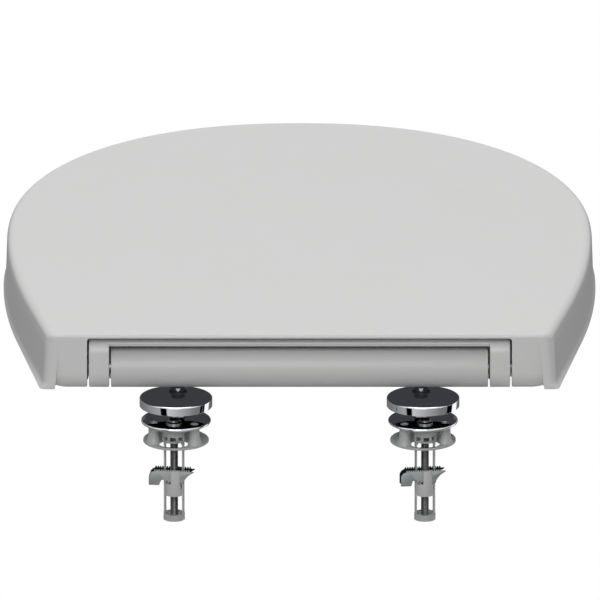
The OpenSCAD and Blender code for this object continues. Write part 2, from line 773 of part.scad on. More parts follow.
// Foot washer with two flared posts that carry the base plate
module foot_washer(side) {
    color(CLEAR_GREY) at_fixing(side) {
        difference() {
            union() {
                translate([0, base_offset, 0]) cylinder(h = foot_t, d = foot_d);
                for (x = [-foot_post_at, foot_post_at]) translate([x, 0, foot_t / 2])
                    cylinder(h = foot_post_flare, d1 = foot_post_base_d, d2 = foot_post_d);
            }
            translate([0, 0, -1]) cylinder(h = plate_z, d = foot_hole_d);
        }
        for (x = [-foot_post_at, foot_post_at]) translate([x, 0, 0]) {
            translate([0, 0, foot_t - 0.5]) cylinder(h = plate_z - foot_t + 0.5, d = foot_post_d);
            translate([0, 0, plate_z - 0.5]) cylinder(h = plate_t, d = foot_peg_d);
        }
    }
}

// Bolt with a domed, cross-recessed flange head
module bolt(side) {
    color(STEEL) at_fixing(side) difference() {
        union() {
            translate([0, 0, plate_top]) rotate_extrude() polygon([
                [0, 0], [bolt_head_d / 2, 0], [bolt_head_d / 2, bolt_head_h * 0.3],
                [bolt_head_d * 0.38, bolt_head_h * 0.5], [bolt_head_d * 0.32, bolt_head_h * 0.9],
                [bolt_head_d * 0.26, bolt_head_h], [0, bolt_head_h]
            ]);
            translate([0, 0, bolt_end + 0.6]) cylinder(h = plate_top - bolt_end, d = bolt_d);
            translate([0, 0, bolt_end]) cylinder(h = 0.7, d = bolt_d - 1.2);
        }
        for (turn = [0, 90]) rotate([0, 0, turn])
            translate([-1.9, -0.55, plate_top + 1.2]) cube([3.8, 1.1, 3]);
    }
}

// Sleeve: flange, cone and ribbed collar above, two rails and a cup below
module sleeve(side) {
    bore_r = collar_d / 2 - 1.3;
    gusset = 3;
    color(CLEAR_GREY) at_fixing(side) {
        difference() {
            union() {
                translate([0, 0, rail_top]) cylinder(h = collar_h, d = collar_d);
                translate([0, 0, collar_top]) rotate_extrude() polygon([
                    [0, 0], [collar_d / 2, 0], [flange_d / 2 - 0.9, flange_h - 1.7],
                    [flange_d / 2, flange_h - 1.2], [flange_d / 2, flange_h], [0, flange_h]
                ]);
                for (turn = [22.5 : 45 : 360]) rotate([0, 0, turn])
                    translate([collar_d / 2 - 0.6, -0.5, rail_top]) cube([1.1, 1, collar_h + 0.6]);
            }
            translate([0, 0, rail_top - 1]) cylinder(h = collar_h + flange_h - 1.2, r = bore_r);
            translate([0, 0, rail_top]) cylinder(h = collar_h + flange_h + 1, r = bolt_d / 2 + bolt_gap);
            for (turn = [0 : 45 : 315]) rotate([0, 0, turn])
                translate([bore_r - 1, -window_w / 2, rail_top + 1.1]) cube([collar_d, window_w, collar_h - 1.8]);
        }
        for (end = [LEFT, RIGHT]) rail(end);
        difference() {
            translate([0, 0, cup_top - cup_h]) cylinder(h = cup_h, d = cup_d);
            translate([0, 0, cup_floor]) cylinder(h = cup_depth + 1, r = rail_in);
        }
        // Small gussets where the rails meet the collar
        for (end = [LEFT, RIGHT]) translate([end * rail_out, 0, rail_top]) rotate([90, 0, 0])
            linear_extrude(rail_w * 0.6, center = true) polygon([
                [0, 0.5], [-end * gusset, 0.5], [-end * gusset, 0],
                [-end * (rail_out - rail_in), -gusset], [0, -gusset]
            ]);
    }
}

// One rail of the cage, flat inside and round outside, rooted in the cup and in the collar
module rail(end) {
    root = 1;
    thick = rail_out - rail_in + 1;
    translate([0, 0, cup_top - root]) intersection() {
        cylinder(h = rail_l + 1.5 * root, r = rail_out);
        translate([end > 0 ? rail_in : -rail_in - thick, -rail_w / 2, 0])
            cube([thick, rail_w, rail_l + 1.5 * root]);
    }
}

// Carrier that climbs the bolt between the rails
module carrier(side) {
    r = carrier_d / 2;
    body_low = shoulder_z - carrier_h;
    rail_free = 0.1;
    web_in = pivot_x - pivot_d / 2 - 0.5;
    color(WHITE) at_fixing(side) difference() {
        union() {
            translate([0, 0, body_low]) cylinder(h = carrier_h, r = r);
            // Two uprights outside the toggle's cheeks
            intersection() {
                translate([0, 0, shoulder_z - 1]) cylinder(h = upright_h + 1, r = r);
                for (s = [-1, 1])
                    translate([upright_at - upright_w / 2, s > 0 ? cheek_out + cheek_gap : -r, shoulder_z - 1])
                        cube([upright_w, r - cheek_out - cheek_gap, upright_h + 1]);
            }
            // Web between the cheeks that holds the pivot pin
            translate([-r, -cheek_in + cheek_gap, shoulder_z - 1])
                cube([r - web_in, 2 * (cheek_in - cheek_gap), pivot_h + 2.2]);
        }
        translate([0, 0, body_low - 1]) cylinder(h = carrier_h + 8, r = bolt_d / 2 + bolt_gap);
        // Guide grooves for the two rails
        for (end = [LEFT, RIGHT]) translate([end * (rail_in - rail_free + 2), 0, 0])
            cube([4, rail_w + 2 * rail_free, FAR], center = true);
        // Pivot hole, and cradles for the cheeks' round ends
        translate([-pivot_x, 0, pivot_z]) rotate([90, 0, 0])
            cylinder(h = 4 * r, d = pivot_d + 2 * press_gap, center = true);
        for (s = [-1, 1]) translate([-pivot_x, s * (cheek_in + cheek_t / 2), pivot_z]) rotate([90, 0, 0])
            cylinder(h = cheek_t + 2 * cheek_gap, r = hub_r + 0.2, center = true);
        // Scoop low on the side away from the pivot
        translate([r + 4, 0, shoulder_z - 1.5]) rotate([90, 0, 0])
            cylinder(h = 4 * r, r = 5.2, center = true);
    }
}

// Side view of a cheek of the toggle, about the bolt's axis and the carrier's shoulder
module cheek_profile() {
    bed = toggle_h - tooth_h;
    seat = 0.2;
    slope_x = hammer_reach / 2;
    corner = 4;
    teeth = floor((hammer_reach + wing_reach - corner - 1) / tooth_pitch);
    difference() {
        union() {
            polygon([
                [-hammer_reach, -hammer_drop], [-slope_x - 1.1, -hammer_drop], [-slope_x + 0.4, pivot_h + 1],
                [-pivot_x, pivot_h + 1], [-pivot_x + 1.4, seat], [6.6, seat], [6.9, bed - 5.7],
                [wing_reach, bed - 0.7], [wing_reach - 0.4, bed], [-hammer_reach + corner, bed],
                [-hammer_reach, bed - corner]
            ]);
            translate([corner - hammer_reach, bed - corner]) circle(corner);
            translate([-pivot_x, pivot_h]) circle(hub_r);
            for (i = [0 : teeth - 1]) translate([corner * 0.7 - hammer_reach + i * tooth_pitch, bed])
                polygon([[0, -0.1], [tooth_pitch, -0.1], [tooth_pitch / 2, tooth_h]]);
        }
        // Hollow curve under the wing
        translate([wing_reach + 2.7, bed - 9.2]) circle(9);
        translate([-pivot_x, pivot_h]) circle(d = pivot_d + 2 * press_gap);
    }
}

// Toggle: two toothed cheeks joined by a rivet near the hammer end
module toggle(side) {
    color(ZINC) at_fixing(side) translate([0, 0, shoulder_z]) {
        for (s = [-1, 1]) translate([0, s * (cheek_in + cheek_t / 2), 0]) rotate([90, 0, 0])
            linear_extrude(cheek_t, center = true) cheek_profile();
        translate([-hammer_reach + 2.6, 0, toggle_h / 2 + 0.3]) rotate([90, 0, 0])
            cylinder(h = 2 * cheek_in + cheek_t, r = 1.3, center = true);
    }
}

module toggle_pin(side) {
    color(STEEL) at_fixing(side) translate([-pivot_x, 0, pivot_z]) rotate([90, 0, 0])
        cylinder(h = 2 * cheek_out, d = pivot_d, center = true);
}

lid();
lid_pad(LEFT);  // lid_pad_left
lid_pad(RIGHT);  // lid_pad_right
lid_shaft();
lid_bush();
seat_ring();
seat_buffer(LEFT, buffer_front_x, buffer_front_y);  // seat_buffer_front_left
seat_buffer(RIGHT, buffer_front_x, buffer_front_y);  // seat_buffer_front_right
seat_buffer(LEFT, buffer_rear_x, buffer_rear_y);  // seat_buffer_rear_left
seat_buffer(RIGHT, buffer_rear_x, buffer_rear_y);  // seat_buffer_rear_right
seat_shaft();
seat_bush();
hinge_bar();
seat_damper();
lid_damper();
post_socket(LEFT);  // post_socket_left
post_socket(RIGHT);  // post_socket_right
post(LEFT);  // post_left
cap(LEFT);  // cap_left
cap_seal(LEFT);  // cap_seal_left
base_plate(LEFT);  // base_plate_left
foot_washer(LEFT);  // foot_washer_left
sleeve(LEFT);  // sleeve_left
bolt(LEFT);  // bolt_left
carrier(LEFT);  // carrier_left
toggle(LEFT);  // toggle_left
toggle_pin(LEFT);  // toggle_pin_left
post(RIGHT);  // post_right
cap(RIGHT);  // cap_right
cap_seal(RIGHT);  // cap_seal_right
base_plate(RIGHT);  // base_plate_right
foot_washer(RIGHT);  // foot_washer_right
sleeve(RIGHT);  // sleeve_right
bolt(RIGHT);  // bolt_right
carrier(RIGHT);  // carrier_right
toggle(RIGHT);  // toggle_right
toggle_pin(RIGHT);  // toggle_pin_right
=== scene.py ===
import json
import math

import bmesh
import bpy
import numpy as np
from bpy.props import FloatProperty, FloatVectorProperty, IntProperty, PointerProperty
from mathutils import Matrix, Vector


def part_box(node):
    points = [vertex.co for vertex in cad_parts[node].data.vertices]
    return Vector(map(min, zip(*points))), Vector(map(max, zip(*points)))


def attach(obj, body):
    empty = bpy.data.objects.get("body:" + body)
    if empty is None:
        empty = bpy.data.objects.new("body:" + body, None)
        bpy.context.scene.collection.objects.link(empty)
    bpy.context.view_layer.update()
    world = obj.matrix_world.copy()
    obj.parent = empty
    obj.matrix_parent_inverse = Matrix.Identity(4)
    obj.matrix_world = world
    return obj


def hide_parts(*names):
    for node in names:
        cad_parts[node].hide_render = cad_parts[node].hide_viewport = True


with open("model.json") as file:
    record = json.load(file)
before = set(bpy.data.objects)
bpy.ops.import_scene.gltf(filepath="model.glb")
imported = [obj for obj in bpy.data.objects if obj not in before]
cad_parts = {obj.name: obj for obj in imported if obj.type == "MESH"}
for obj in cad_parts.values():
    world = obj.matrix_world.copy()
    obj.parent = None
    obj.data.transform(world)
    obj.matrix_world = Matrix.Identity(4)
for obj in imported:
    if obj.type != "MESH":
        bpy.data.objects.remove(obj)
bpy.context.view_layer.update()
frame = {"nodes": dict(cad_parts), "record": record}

bl_info = {
    "name": "Toilet seat with top fixings",
    "version": (1, 0, 0),
    "blender": (4, 5, 0),
    "location": "3D View > Sidebar > Toilet Seat",
    "description": "Builds the lid, seat ring, hinge and both toggle fixings round the packed model",
    "category": "Mesh",
}

MM = 0.001
LEFT, RIGHT = -1, 1
SIDES = (("left", LEFT), ("right", RIGHT))

JOINTS = {joint["name"]: joint for joint in frame["record"]["behaviour"]["joints"]}
HINGE = np.array(JOINTS["lid_lift"]["pos_m"])
BOLT_X = JOINTS["right_bolt_turn"]["pos_m"][0]
# From a bolt to its post, and how far that line is turned from straight to the front
POST_REACH = 19.65 * MM
BASE_TURN = math.acos(HINGE[1] / POST_REACH)
# From a bolt to the middle of its cap, plate and washer, and to the washer's two posts
PLATE_SHIFT = 9.6 * MM
PEG_REACH = 12.7 * MM
# Radii of the bores for the bushes and for the keyed shafts along the hinge axis
BUSH_BORE, KEY_BORE = 6.05 * MM, 4 * MM
# The long sides of the lid: radius of their curve and the angle that they turn through
SIDE_CURVE, SIDE_TAPER = 720 * MM, math.radians(9.2)
# Powers of the oval curves of the front and of the opening
FRONT_POWER, HOLE_POWER = 2.2, 2.25


# Sizes and colours that a user would change

def length(label, text, value):
    return FloatProperty(name=label, description=text, default=value * MM, min=0, unit="LENGTH",
                         subtype="DISTANCE")


def colour(label, text, value):
    return FloatVectorProperty(name=label, description=text, default=value, size=3, min=0, max=1,
                               subtype="COLOR")


def strength(label, text, value):
    return FloatProperty(name=label, description=text, default=value, min=0)


class LidSizes(bpy.types.PropertyGroup):
    width: length("Width", "Width of the lid at its widest place", 370)
    front_reach: length("Front reach", "From the widest place to the front tip", 228)
    wide_y: length("Widest place", "From the hinge axis to the widest place", 197.7)
    rear: length("Rear", "From the hinge axis back to the rear wall", 12.3)
    top: length("Top", "Height of the top face over the hinge axis", 25)
    low: length("Low", "Depth of the lower rim under the hinge axis", 10.6)
    wall: length("Wall", "Thickness of the shell", 3.2)
    flare: length("Flare", "How far the lower edge of the sides and the front flares out", 1.4)
    flare_height: length("Flare height", "Height of the flare", 5)
    draft: length("Draft", "How far the sides and the front lean in above the flare", 1)
    rear_draft: length("Rear draft", "How far the rear wall leans in", 0.4)
    edge: length("Edge radius", "Radius of the top edge along the front and the sides", 5)
    rear_edge: length("Rear edge radius", "Radius of the top edge along the rear", 2.3)
    corner: length("Corner radius", "Outer radius of the rear corners in plan", 3)
    inner_corner: length("Inner corner radius", "Inner radius of the rear corners in plan", 8)
    notch_lip: length("Notch lip", "Height of the strip of lid over the opening for the hinge bar", 2.6)


class SeatSizes(bpy.types.PropertyGroup):
    inset: length("Inset", "From the lid's outline in to the ring's outline", 6.6)
    rear: length("Rear", "From the hinge axis to the ring's rear edge", 13.5)
    top: length("Top", "Height of the ring's top over the hinge axis", 12)
    low: length("Low", "Depth of the ring's underside below the hinge axis", 11)
    hole_width: length("Opening width", "Width of the opening", 235)
    hole_length: length("Opening length", "Length of the opening", 280)
    hole_rear: length("Opening rear", "From the hinge axis to the rear of the opening", 73.5)
    ear_in: length("Ear inner face", "From the middle to the inner face of an ear", 117.6)
    ear_out: length("Ear outer face", "From the middle to the outer face of an ear", 130.1)
    strip_out: length("Strip outer radius", "Outer radius of the strip over the bar", 20.2)
    strip_in: length("Strip inner radius", "Inner radius of the strip over the bar", 17.5)
    corner: length("Corner radius", "Radius of the ring's rear corners in plan", 15)


class HingeSizes(bpy.types.PropertyGroup):
    bar_length: length("Bar length", "Length of the round hinge bar", 233)
    bar_radius: length("Bar radius", "Radius of the round hinge bar", 12.3)
    lug_in: length("Lug inner face", "From the middle to the inner face of a lug", 131.2)
    lug_out: length("Lug outer face", "From the middle to the outer face of a lug", 150.2)
    post_radius: length("Post radius", "Radius of the posts", 4.3)


class FixingSizes(bpy.types.PropertyGroup):
    cap_radius: length("Cap radius", "Radius of the polished caps", 22.5)
    cap_height: length("Cap height", "Height of the caps' rims", 5.8)
    cap_sheet: length("Cap sheet", "Thickness of the caps' sheet", 0.8)
    plate_radius: length("Base plate radius", "Radius of the base plates", 21.6)
    plate_height: length("Base plate height", "Thickness of the base plates", 2.2)
    foot_radius: length("Foot washer radius", "Radius of the foot washers", 20.3)
    bolt_radius: length("Bolt radius", "Outer radius of the thread", 2.5)
    thread_pitch: length("Thread pitch", "Rise of the thread in one turn", 0.8)
    thread_depth: length("Thread depth", "Depth of the thread", 0.42)
    turns_across: IntProperty(name="Thread faces", description="Faces round one turn of the thread", default=24,
                              min=8)


class Finishes(bpy.types.PropertyGroup):
    lid: colour("Lid plastic", "Colour of the lid", (0.70, 0.70, 0.70))
    seat: colour("Seat plastic", "Colour of the seat ring", (0.70, 0.70, 0.70))
    bar: colour("Bar plastic", "Colour of the hinge bar", (0.62, 0.62, 0.62))
    carrier: colour("Carrier plastic", "Colour of the carriers", (0.55, 0.555, 0.555))
    clear: colour("Clear plastic", "Colour of the half-clear washers and cages", (0.56, 0.57, 0.57))
    chrome: colour("Chrome", "Colour of the polished metal", (0.80, 0.81, 0.84))
    steel: colour("Steel", "Colour of the bolts", (0.26, 0.26, 0.265))
    zinc: colour("Zinc", "Colour of the shafts and dampers", (0.55, 0.56, 0.57))
    toggle: colour("Toggle metal", "Colour of the cast toggles", (0.44, 0.46, 0.46))
    rubber: colour("Rubber", "Colour of the seals and pads", (0.03, 0.03, 0.032))
    bush: colour("Bush plastic", "Colour of the bushes", (0.06, 0.06, 0.065))
    buffer: colour("Buffer", "Colour of the seat's buffers", (0.42, 0.42, 0.41))


class StageSettings(bpy.types.PropertyGroup):
    view_pitch: FloatProperty(name="View pitch", description="Angle of the camera above the horizon",
                              default=math.radians(18), subtype="ANGLE", unit="ROTATION")
    view_width: length("View width", "Width of the picture at the hinge axis", 370.8)
    view_distance: length("View distance", "From the camera to the hinge axis", 16500)
    view_rise: length("View rise", "From the hinge axis up the picture to its middle", 41.4)
    floor_drop: length("Floor drop", "From the bowl's rim down to the floor", 400)
    over_watts: strength("Over softbox", "Power of the softbox over the seat", 22.5)
    camera_watts: strength("Camera softbox", "Power of the softbox behind the camera", 24)
    surround: strength("Surround", "Strength of the light from all round", 0.26)


# Surfaces

def finish_mesh(mesh, keep_sharp=32):
    """Merges doubles, turns the faces outward and shades smooth up to an angle in degrees."""
    work = bmesh.new()
    work.from_mesh(mesh)
    bmesh.ops.remove_doubles(work, verts=work.verts, dist=0.002 * MM)
    if work.calc_volume(signed=True) < 0:
        bmesh.ops.reverse_faces(work, faces=work.faces)
    work.to_mesh(mesh)
    work.free()
    mesh.shade_smooth()
    mesh.set_sharp_from_angle(angle=math.radians(keep_sharp))


def add_piece(name, points, faces):
    """An object at the origin whose mesh has these points and faces."""
    mesh = bpy.data.meshes.new(name)
    mesh.from_pydata(points.reshape(-1, 3).tolist(), [], faces)
    mesh.validate()
    piece = bpy.data.objects.new(name, mesh)
    bpy.context.scene.collection.objects.link(piece)
    finish_mesh(mesh)
    return piece


def skin(name, rows, loop=False):
    """Closed skin over rows of points of equal length, each row a closed ring.
    Each quad joins two neighbours of one row to the same two of the next. The first and last
    row are closed by a flat face, or joined to each other where loop is true."""
    rows = np.asarray(rows)
    count, around = rows.shape[:2]
    index = np.arange(count * around).reshape(count, around)
    beside = np.roll(index, -1, axis=1)
    if loop:
        below, below_beside = np.roll(index, -1, axis=0), np.roll(beside, -1, axis=0)
        quads = np.stack([index, beside, below_beside, below], axis=-1)
    else:
        quads = np.stack([index[:-1], beside[:-1], beside[1:], index[1:]], axis=-1)
    faces = quads.reshape(-1, 4).tolist()
    if not loop:
        faces += [index[0][::-1].tolist(), index[-1].tolist()]
    return add_piece(name, rows, faces)


def rounded(corners, steps=4):
    """Polyline of (a, b, radius) corners with each corner replaced by an arc of its radius.
    An arc starts and ends radius / tan(half the corner's angle) from the corner on its two sides."""
    corners = np.asarray(corners, float)
    out = []
    for k in range(len(corners)):
        p, r = corners[k, :2], corners[k, 2]
        if r == 0:
            out.append(p[None])
            continue
        before, after = corners[k - 1, :2] - p, corners[(k + 1) % len(corners), :2] - p
        before, after = before / np.linalg.norm(before), after / np.linalg.norm(after)
        half = math.acos(np.clip(before @ after, -1, 1)) / 2
        middle = p + (before + after) / np.linalg.norm(before + after) * r / math.sin(half)
        start, end = p + before * r / math.tan(half) - middle, p + after * r / math.tan(half) - middle
        sweep = math.atan2(start[0] * end[1] - start[1] * end[0], start @ end)
        turn = np.linspace(0, sweep, steps + 1)[:, None]
        side = np.array([-start[1], start[0]])
        out.append(middle + np.cos(turn) * start + np.sin(turn) * side)
    return np.concatenate(out)


def turned(name, profile, centre, around=96):
    """Profile of (radius, height) pairs carried round a vertical axis at centre = (x, y)."""
    angle = np.linspace(0, 2 * math.pi, around, endpoint=False)
    profile = np.asarray(profile)
    rows = np.stack([
        centre[0] + profile[:, :1] * np.cos(angle),
        centre[1] + profile[:, :1] * np.sin(angle),
        np.broadcast_to(profile[:, 1:], (len(profile), around)),
    ], axis=-1)
    return skin(name, rows)


def ringed(name, stations, around=128):
    """Closed loop of circles (radius, height, x, y of the centre): the surface runs from each
    circle straight to the next and from the last back to the first, so that a hole may lie off centre."""
    stations = np.asarray(stations)[:, :, None]
    angle = np.linspace(0, 2 * math.pi, around, endpoint=False)
    rows = np.stack([
        stations[:, 2] + stations[:, 0] * np.cos(angle),
        stations[:, 3] + stations[:, 0] * np.sin(angle),
        np.broadcast_to(stations[:, 1], (len(stations), around)),
    ], axis=-1)
    return skin(name, rows, loop=True)


def inward(profile, distance):
    """Closed (a, b) profile moved to its inside by a distance: each point goes along the mean of
    its two edge normals, far enough that both edges move by the distance."""
    ahead = np.roll(profile, -1, axis=0) - profile
    area = np.sum(profile[:, 0] * np.roll(profile[:, 1], -1) - np.roll(profile[:, 0], -1) * profile[:, 1])
    normal = np.stack([-ahead[:, 1], ahead[:, 0]], axis=1) * np.sign(area)
    normal /= np.linalg.norm(normal, axis=1, keepdims=True)
    mean = normal + np.roll(normal, 1, axis=0)
    mean /= np.maximum(np.linalg.norm(mean, axis=1, keepdims=True), 1e-9)
    reach = np.clip(np.sum(mean * normal, axis=1, keepdims=True), 0.5, 1)
    return profile + mean * distance / reach


def slab(name, profile, start, end, edge, steps=4, far_edge=None, weight=1.0):
    """Profile of (y, z) pairs carried along X from start to end, with both rims rounded by
    edge = (along, inset): near an end the profile moves inward by inset * (1 - sin t) while x goes
    by along * (1 - cos t). The far rim may have its own pair, and weight scales the inset per point."""
    profile = np.asarray(profile)
    near_edge = (edge, edge) if np.isscalar(edge) else edge
    far_edge = near_edge if far_edge is None else far_edge
    turn = np.linspace(0, math.pi / 2, steps + 1)
    step = 1 if end > start else -1
    stations = np.concatenate([start + step * near_edge[0] * (1 - np.cos(turn)),
                               (end - step * far_edge[0] * (1 - np.cos(turn)))[::-1]])
    insets = np.concatenate([near_edge[1] * (1 - np.sin(turn)), (far_edge[1] * (1 - np.sin(turn)))[::-1]])
    rows = []
    for x, distance in zip(stations, insets):
        moved = profile + (inward(profile, distance) - profile) * np.reshape(weight, (-1, 1))
        rows.append(np.column_stack([np.full(len(moved), x), moved]))
    return skin(name, rows)


def arc(radius, start, end, steps, centre=(0, 0)):
    """Points on an arc between two angles in degrees."""
    turn = np.radians(np.linspace(start, end, steps))
    return np.column_stack([centre[0] + radius * np.cos(turn), centre[1] + radius * np.sin(turn)])


def bake(piece):
    """Puts the result of a piece's modifiers into its mesh."""
    graph = bpy.context.evaluated_depsgraph_get()
    mesh = bpy.data.meshes.new_from_object(piece.evaluated_get(graph))
    piece.modifiers.clear()
    piece.data = mesh
    finish_mesh(mesh)


def shape_with(piece, tools, operation):
    """Joins the tools to the piece, or cuts them out of it, and removes them."""
    for tool in tools:
        step = piece.modifiers.new("shape", "BOOLEAN")
        step.operation, step.solver, step.object = operation, "EXACT", tool
    bake(piece)
    for tool in tools:
        bpy.data.objects.remove(tool)
    piece.data.materials.clear()


def soften(piece, width, segments=2, angle=34):
    """Rounds the edges that are sharper than an angle in degrees."""
    bevel = piece.modifiers.new("soft_edges", "BEVEL")
    bevel.width, bevel.segments = width, segments
    bevel.limit_method, bevel.angle_limit = "ANGLE", math.radians(angle)
    bevel.use_clamp_overlap, bevel.harden_normals = True, False
    bake(piece)


def copy_of(node, name, width=0, flat=1.0, segments=2):
    """A copy of a CAD node, merged by distance, with its flat faces joined and its edges softened."""
    piece = bpy.data.objects.new(name, frame["nodes"][node].data.copy())
    bpy.context.scene.collection.objects.link(piece)
    work = bmesh.new()
    work.from_mesh(piece.data)
    bmesh.ops.remove_doubles(work, verts=work.verts, dist=0.004 * MM)
    bmesh.ops.dissolve_limit(work, angle_limit=math.radians(flat), verts=work.verts, edges=work.edges)
    work.to_mesh(piece.data)
    work.free()
    finish_mesh(piece.data)
    if width:
        soften(piece, width, segments)
    return piece


def box_tool(name, low, high):
    """A plain box between two corners, used only to cut."""
    low, high = np.asarray(low), np.asarray(high)
    ring = np.array([[0, 0], [1, 0], [1, 1], [0, 1]])
    rows = [[[*(low[:2] + corner * (high - low)[:2]), z] for corner in ring] for z in (low[2], high[2])]
    return skin(name, np.array(rows))


def drill(name, centre, radius, low, high, around=64):
    return turned(name, [[radius, low], [radius, high]], centre, around)


def settle(piece, body, slot, node, finish=None):
    """Gives a piece its body and the finish of its slot or one of its own, and hides the CAD node it replaces.
    """
    piece.data.materials.clear()
    piece.data.materials.append(finish or finish_for(slot))
    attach(piece, body)
    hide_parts(node)


def mark_faces(piece, finish, chosen):
    """Gives a second finish to the faces that a test picks by their centres and normals."""
    polygons = piece.data.polygons
    centre, normal = np.empty(len(polygons) * 3, np.float32), np.empty(len(polygons) * 3, np.float32)
    polygons.foreach_get("center", centre)
    polygons.foreach_get("normal", normal)
    piece.data.materials.append(finish)
    picked = chosen(centre.reshape(-1, 3), normal.reshape(-1, 3))
    polygons.foreach_set("material_index", picked.astype(np.int32))
    piece.data.update()


def place_at_fixing(side, x, y):
    """Point of a fixing drawn about its bolt, turned by the base's angle and moved to its side."""
    turn = side * BASE_TURN
    return (side * BOLT_X + x * math.cos(turn) - y * math.sin(turn), x * math.sin(turn) + y * math.cos(turn))


def points_of(piece):
    """The points of a piece as rows of x, y, z."""
    flat = np.empty(len(piece.data.vertices) * 3, np.float32)
    piece.data.vertices.foreach_get("co", flat)
    return flat.reshape(-1, 3)


def move_points(piece, points):
    piece.data.vertices.foreach_set("co", points.ravel())
    piece.data.update()


def turn_to_fixing(piece, side):
    """Moves the mesh of a piece that was drawn about its bolt to its side of the seat."""
    x, y, z = points_of(piece).T
    move_points(piece, np.column_stack([*place_at_fixing(side, x, y), z]).astype(np.float32))


def crosswise(name, profile, start, end, edge, steps=1):
    """A slab along Y: one along X with the two axes exchanged, so that its profile is (x, z)."""
    piece = slab(name, profile, start, end, edge, steps)
    move_points(piece, points_of(piece)[:, [1, 0, 2]])
    piece.data.flip_normals()
    return piece


# Finishes

def group_of(name, inputs, outputs):
    """Empty shader group with named sockets: (kind, name, default) in and (kind, name) out."""
    tree = bpy.data.node_groups.new(name, "ShaderNodeTree")
    for kind, label, default in inputs:
        socket = tree.interface.new_socket(label, in_out="INPUT", socket_type="NodeSocket" + kind)
        socket.default_value = default
    for kind, label in outputs:
        tree.interface.new_socket(label, in_out="OUTPUT", socket_type="NodeSocket" + kind)
    return tree, tree.nodes.new("NodeGroupInput"), tree.nodes.new("NodeGroupOutput")


def noise_node(tree, place, scale, detail, rough):
    noise = tree.nodes.new("ShaderNodeTexNoise")
    noise.inputs["Detail"].default_value = detail
    noise.inputs["Roughness"].default_value = rough
    tree.links.new(place, noise.inputs["Vector"])
    if isinstance(scale, (int, float)):
        noise.inputs["Scale"].default_value = scale
    else:
        tree.links.new(scale, noise.inputs["Scale"])
    return noise.outputs["Fac"]


def range_node(tree, value, low, high):
    """Maps a value from 0 to 1 to the range between two numbers or sockets."""
    mapped = tree.nodes.new("ShaderNodeMapRange")
    tree.links.new(value, mapped.inputs["Value"])
    for label, number in (("To Min", low), ("To Max", high)):
        if isinstance(number, (int, float)):
            mapped.inputs[label].default_value = number
        else:
            tree.links.new(number, mapped.inputs[label])
    return mapped.outputs["Result"]


def relief_node(tree, strength, height):
    """Normal of a relief 0.05 mm high."""
    bump = tree.nodes.new("ShaderNodeBump")
    bump.inputs["Distance"].default_value = 0.05 * MM
    tree.links.new(strength, bump.inputs["Strength"])
    tree.links.new(height, bump.inputs["Height"])
    return bump.outputs["Normal"]


def colour_node(tree, share, first, second):
    """Colour between two others."""
    mix = tree.nodes.new("ShaderNodeMix")
    mix.data_type = "RGBA"
    for value, label in ((share, "Factor"), (first, "A"), (second, "B")):
        tree.links.new(value, mix.inputs[label])
    return mix.outputs["Result"]


def product_node(tree, first, second, clamp=False):
    """Product of a value and a second value or number."""
    product = tree.nodes.new("ShaderNodeMath")
    product.operation = "MULTIPLY"
    product.use_clamp = clamp
    tree.links.new(first, product.inputs[0])
    if isinstance(second, float):
        product.inputs[1].default_value = second
    else:
        tree.links.new(second, product.inputs[1])
    return product.outputs["Value"]


SKIN_OUTPUTS = [("Color", "Colour"), ("Float", "Roughness"), ("Vector", "Normal")]


def finish_group(tree, out, colour, roughness, normal):
    """Joins a finish's three results to its group's outputs."""
    for label, value in (("Colour", colour), ("Roughness", roughness), ("Normal", normal)):
        tree.links.new(value, out.inputs[label])
    return tree


def moulded_skin_group():
    """Moulded plastic: slow drift of colour, faint cloudy gloss and a fine, very shallow grain."""
    tree, given, out = group_of("moulded_skin", [
        ("Color", "Colour", (0.8, 0.8, 0.8, 1)), ("Color", "Drift Colour", (0.78, 0.78, 0.76, 1)),
        ("Float", "Gloss Low", 0.3), ("Float", "Gloss High", 0.36), ("Float", "Flow Scale", 14.0),
        ("Float", "Grain Scale", 1600.0), ("Float", "Relief", 0.03),
    ], SKIN_OUTPUTS)
    given = given.outputs
    place = tree.nodes.new("ShaderNodeTexCoord").outputs["Object"]
    drift = noise_node(tree, place, given["Flow Scale"], 2, 0.5)
    cloud = noise_node(tree, place, 60.0, 4, 0.6)
    grain = noise_node(tree, place, given["Grain Scale"], 2, 0.5)
    return finish_group(tree, out, colour_node(tree, drift, given["Colour"], given["Drift Colour"]),
                        range_node(tree, cloud, given["Gloss Low"], given["Gloss High"]),
                        relief_node(tree, given["Relief"], grain))


def metal_skin_group():
    """Metal: colour and gloss vary in fine streaks along one axis and in slow clouds, over a shallow relief."""
    tree, given, out = group_of("metal_skin", [
        ("Color", "Colour", (0.6, 0.6, 0.6, 1)), ("Color", "Streak Colour", (0.5, 0.5, 0.5, 1)),
        ("Float", "Gloss Low", 0.2), ("Float", "Gloss High", 0.35), ("Float", "Streak Scale", 300.0),
        ("Vector", "Streak Stretch", (1.0, 1.0, 1.0)), ("Float", "Relief", 0.1),
    ], SKIN_OUTPUTS)
    given = given.outputs
    place = tree.nodes.new("ShaderNodeTexCoord").outputs["Object"]
    stretch = tree.nodes.new("ShaderNodeVectorMath")
    stretch.operation = "MULTIPLY"
    tree.links.new(place, stretch.inputs[0])
    tree.links.new(given["Streak Stretch"], stretch.inputs[1])
    streak = noise_node(tree, stretch.outputs["Vector"], given["Streak Scale"], 4, 0.65)
    cloud = noise_node(tree, place, 90.0, 3, 0.55)
    gloss = product_node(tree, product_node(tree, cloud, streak), 3.0, True)
    return finish_group(tree, out, colour_node(tree, streak, given["Colour"], given["Streak Colour"]),
                        range_node(tree, gloss, given["Gloss Low"], given["Gloss High"]),
                        relief_node(tree, given["Relief"], streak))


GROUPS = {}
FINISHES = {}


